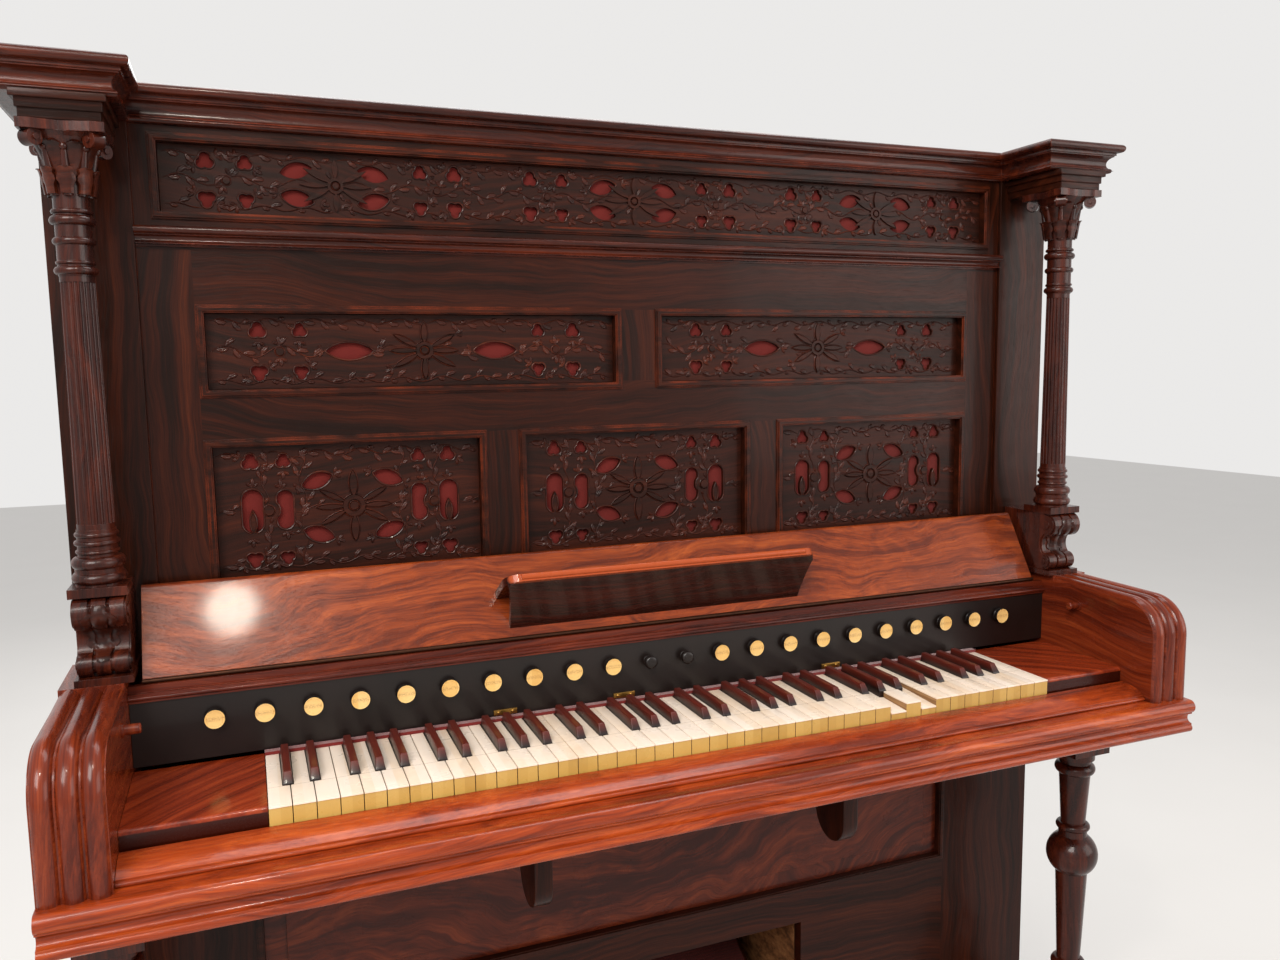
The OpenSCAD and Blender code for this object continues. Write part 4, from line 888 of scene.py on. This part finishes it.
def tendril(bm, front, on_board, start, end, swing, wave):
    """A leafy wave from start to end: its stem where the board is whole, and leaves to both
    sides by turns."""
    a, b = (P(q[0], 0, q[1]) for q in (start, end))
    a, b = Vector((a.x, a.z)), Vector((b.x, b.z))
    ahead = (b - a).normalized()
    side = Vector((-ahead.y, ahead.x))
    n = max(8, int((b - a).length / 0.0025))
    turns = math.tau * (b - a).length * 1000 / wave
    line = [a + (b - a) * k / n + side * swing * 0.001 * math.sin(turns * k / n)
            for k in range(n + 1)]
    run = []
    for q in line + [None]:
        if q is not None and on_board(q):
            run.append(q)
            continue
        if len(run) > 5:
            stem(bm, run, front)
        run = []
    for k in range(2, n - 1, 4):
        q, d = line[k], line[k + 1] - line[k - 1]
        sign = 1 if (k // 4) % 2 else -1
        h = math.atan2(d.y, d.x) + sign * 0.8
        for length, width in ((0.014, 0.0032), (0.0095, 0.0025)):
            if leaf_fits(on_board, q, unit(h), length, width, (0.1, 0.4, 0.75, 1.1)):
                leaf(bm, q + unit(h) * 0.0008, h, length, width, front, bend=-0.7 * sign)
                break


def fret_carving(node, waves):
    """Carving around a fret's openings: a bead along each edge, small leaves at the ends, and
    leafy tendrils along lines given as (start, end, swing, length of a wave) in millimetres.
    All of it stays on the solid parts of the board."""
    front, loops = board_loops(node)
    tree, bm = surface(node), bmesh.new()

    def on_board(q):
        hit = tree.ray_cast(Vector((q.x, front - 0.05, q.y)), Vector((0, 1, 0)))
        return hit[0] is not None and abs(hit[0].y - front) < 0.0005

    for loop in loops:
        xs = [p.x for p in loop]
        if max(xs) - min(xs) < 0.12 and len(loop) > 4:
            bead_round(bm, loop, front)
            end_leaves(bm, loop, front, on_board)
    for start, end, swing, wave in waves:
        tendril(bm, front, on_board, start, end, swing, wave)
    piece(node + "_carving", bm, [carved_wood], "case", 55)


SIDES = (-1, 1)
LOWER_MIDDLES = (-384.8, 0, 384.8)
UPPER_WAVES = [((s * 540, 463), (s * 38, 463), 7, 64) for s in SIDES]
UPPER_WAVES += [((s * 540, 463 + k), (s * 38, 463 + k), 3, 52) for s in SIDES for k in (-36, 36)]
LOWER_WAVES = [((c - 158, 270 + k), (c + 158, 270 + k), 4, 52)
               for c in LOWER_MIDDLES for k in (-68, 0, 68)]
LOWER_WAVES += [((c + k, 195), (c + k, 345), 4, 50)
                for c in LOWER_MIDDLES for k in (-104, -60, 60, 104)]
FRIEZE_WAVES = [((-580, 661.5), (580, 661.5), 6, 66), ((-580, 691), (580, 691), 2.5, 48),
                ((-580, 632), (580, 632), 2.5, 48)]
fret_carving("upper_frets", UPPER_WAVES)
fret_carving("lower_frets", LOWER_WAVES)
fret_carving("frieze_fret", FRIEZE_WAVES)


def capital_leaves(node, cx):
    """Two rows of carved leaves that follow the capital's bell."""
    tree = surface(node)
    centre = P(cx, COLUMN_Y, 0)

    def radius(a, z):
        d = Vector((math.cos(a), math.sin(a), 0))
        axis = Vector((centre.x, centre.y, z))
        hit = tree.ray_cast(axis + d * 0.1, -d)
        return 0.02 if hit[0] is None else (hit[0] - axis).length

    bm = bmesh.new()
    count, half, nu, nv = 8, 0.33, 10, 6
    for z0, height, shift in ((622, 26, 0.0), (640, 32, 0.5)):
        for k in range(count):
            a0 = math.tau * (k + shift) / count
            rings = []
            for i in range(nu + 1):
                u = i / nu
                z = P(0, 0, z0 + height * math.sin(u * 1.75)).z
                w = half * math.sin(math.pi * (0.2 + 0.78 * u)) ** 0.7
                w *= 1 + 0.16 * math.cos(math.tau * 3 * u)
                lift = 0.0012 + 0.0062 * max(0.0, u - 0.55) ** 1.2
                row = []
                base = radius(a0, z)
                for j in range(nv + 1):
                    v = -1 + 2 * j / nv
                    a = a0 + w * v
                    r = base + lift + 0.0016 * (1 - abs(v)) - (0.001 if j == nv // 2 else 0)
                    row.append((centre.x + math.cos(a) * r, centre.y + math.sin(a) * r, z))
                ends = [(centre.x + math.cos(a0 + w * s) * (base - 0.003),
                         centre.y + math.sin(a0 + w * s) * (base - 0.003), z) for s in SIDES]
                rings.append([bm.verts.new(c) for c in [ends[0]] + row + [ends[1]]])
            capped_skin(bm, rings)
    piece(node + "_leaves", bm, [carved_wood], "case", 55)


capital_leaves("left_column", -COLUMN_X)
capital_leaves("right_column", COLUMN_X)


def bracket_leaves():
    """A carved leaf that follows the front of each scroll bracket."""
    tree = surface("scroll_brackets")
    bm = bmesh.new()
    nu, nv = 26, 8
    for cx in (-COLUMN_X, COLUMN_X):
        rings = []
        for i in range(nu + 1):
            u = i / nu
            z = 196 - 62 * u
            half = 17 * math.sin(math.pi * (0.1 + 0.86 * u)) ** 0.6
            half *= 1 + 0.13 * math.cos(math.tau * 4 * u)
            row = []
            for j in range(nv + 1):
                v = -1 + 2 * j / nv
                start = P(cx + half * v, 60, z)
                hit = tree.ray_cast(start, Vector((0, 1, 0)))
                y = hit[0].y if hit[0] is not None else P(0, 150, 0).y
                lift = 0.0010 + 0.0022 * (1 - abs(v)) ** 0.7
                lift += 0.0006 * math.cos(math.pi * 6 * abs(v))
                if j == nv // 2:
                    lift -= 0.0012
                row.append((start.x, y - lift, start.z))
            ends = [(c[0], c[1] + 0.003, c[2]) for c in (row[0], row[-1])]
            rings.append([bm.verts.new(c) for c in [ends[0]] + row + [ends[1]]])
        capped_skin(bm, rings)
    piece("bracket_leaves", bm, [carved_wood], "case", 55)


bracket_leaves()


# Small metal pieces

def screw(bm, at, axis, r):
    """A domed screw head, standing on a surface."""
    lathe(bm, [(-0.001, r), (0.0002, r), (0.0008, r * 0.85), (0.0012, r * 0.5), (0.0013, 0)],
          at, axis, 20)


def brass_clips():
    """Small plates along the foot of the stop board."""
    bm = bmesh.new()
    for x in (-62, -222, 255):
        low, high = P(x - 15, 153.8, 5.5), P(x + 15, 156.2, 12.5)
        round_edges(bm, block(bm, low, high), 0.0006)
        for k in (-9, 9):
            screw(bm, P(x + k, 153.8, 9), (0, -1, 0), 0.0022)
    piece("stop_board_clips", bm, [brass_metal], "case", 40)


brass_clips()


def back_screws():
    """Screws round the edges of the sunk fields of the back."""
    src, bm = solid_of("back_panel"), bmesh.new()
    back, margin = max(v.co.y for v in src.verts), 0.018
    for f in src.faces:
        y = f.calc_center_median().y
        if f.normal.y < 0.99 or y > back - 0.001:
            continue
        x0, x1 = min(v.co.x for v in f.verts) + margin, max(v.co.x for v in f.verts) - margin
        z0, z1 = min(v.co.z for v in f.verts) + margin, max(v.co.z for v in f.verts) - margin
        spots = [(x, z0 + (z1 - z0) * k / 3) for x in (x0, x1) for k in range(4)]
        for x, z in spots + [((x0 + x1) / 2, z) for z in (z0, z1)]:
            screw(bm, Vector((x, y, z)), (0, 1, 0), 0.0045)
    src.free()
    piece("back_screws", bm, [steel_metal], "case", 40)


back_screws()

for n in ("toe_blocks", "knee_levers", "impost_blocks", "treadles"):
    eased(n, 0.0014)


def treadle_covers():
    """A worn carpet pad on each treadle, held by a metal strip at its head and its foot."""
    src, pads, strips = solid_of("treadles"), bmesh.new(), bmesh.new()
    strip_w, strip_t = 0.012, 0.0046
    for group in islands(src):
        top = max((f for f in group if f.normal.z > 0.3), key=lambda f: f.calc_area())
        up, mid = top.normal.copy(), top.calc_center_median()
        along, across = Vector((0, up.z, -up.y)).normalized(), Vector((1, 0, 0))
        half_l = max(abs((v.co - mid).dot(along)) for v in top.verts)
        half_w = max(abs(v.co.x - mid.x) for v in top.verts)

        def pad(bm, l0, l1, w, t, ease):
            corners = ((l0, -1), (l0, 1), (l1, 1), (l1, -1))
            at = [mid + along * l + across * k * w for l, k in corners]
            a = [bm.verts.new(p - up * 0.0005) for p in at]
            b = [bm.verts.new(p + up * t) for p in at]
            faces = [bm.faces.new(a), bm.faces.new(b[::-1])]
            faces += [bm.faces.new((a[i], b[i], b[(i + 1) % 4], a[(i + 1) % 4])) for i in range(4)]
            round_edges(bm, edges_of(faces), ease)

        pad(pads, -half_l + 0.008, half_l - 0.008, half_w - 0.007, 0.0035, 0.0012)
        for l in (-half_l + 0.006, half_l - 0.018):
            pad(strips, l, l + strip_w, half_w - 0.004, strip_t, 0.0005)
            for k in (-0.8, 0, 0.8):
                spot = mid + along * (l + strip_w / 2) + across * k * half_w + up * strip_t
                screw(strips, spot, up, 0.0028)
    src.free()
    piece("treadle_carpets", pads, [carpet], "case", 40)
    piece("treadle_strips", strips, [brass_metal], "case", 40)


treadle_covers()


def floor():
    """A pale floor that keeps the shadow."""
    bm = bmesh.new()
    bmesh.ops.create_grid(bm, x_segments=2, y_segments=2, size=9)
    me = bpy.data.meshes.new("floor")
    bm.to_mesh(me)
    bm.free()
    t = Tree("floor_paint")
    n = t.noise(t.object, 3, 3, 0.5)
    t.shade(t.mix(n, srgb(226, 223, 219), srgb(218, 215, 211)), 0.85, spec=0.2)
    glow = t.add("Emission")
    glow.inputs["Color"].default_value = PALE
    path = t.add("LightPath")
    rays = path.outputs["Is Camera Ray"]
    for kind in ("Is Glossy Ray", "Is Transmission Ray"):
        rays = t.math("ADD", rays, path.outputs[kind], clamp=True)
    both = t.add("MixShader")
    t.put(both.inputs[0], t.math("MULTIPLY", rays, 0.45))
    t.nt.links.new(t.bsdf.outputs[0], both.inputs[1])
    t.nt.links.new(glow.outputs[0], both.inputs[2])
    t.nt.links.new(both.outputs[0], t.out.inputs["Surface"])
    o = bpy.data.objects.new("floor", me)
    me.materials.append(t.mat)
    o.location = (0, 0, -0.0005)
    scene.collection.objects.link(o)


floor()

bpy.context.view_layer.update()
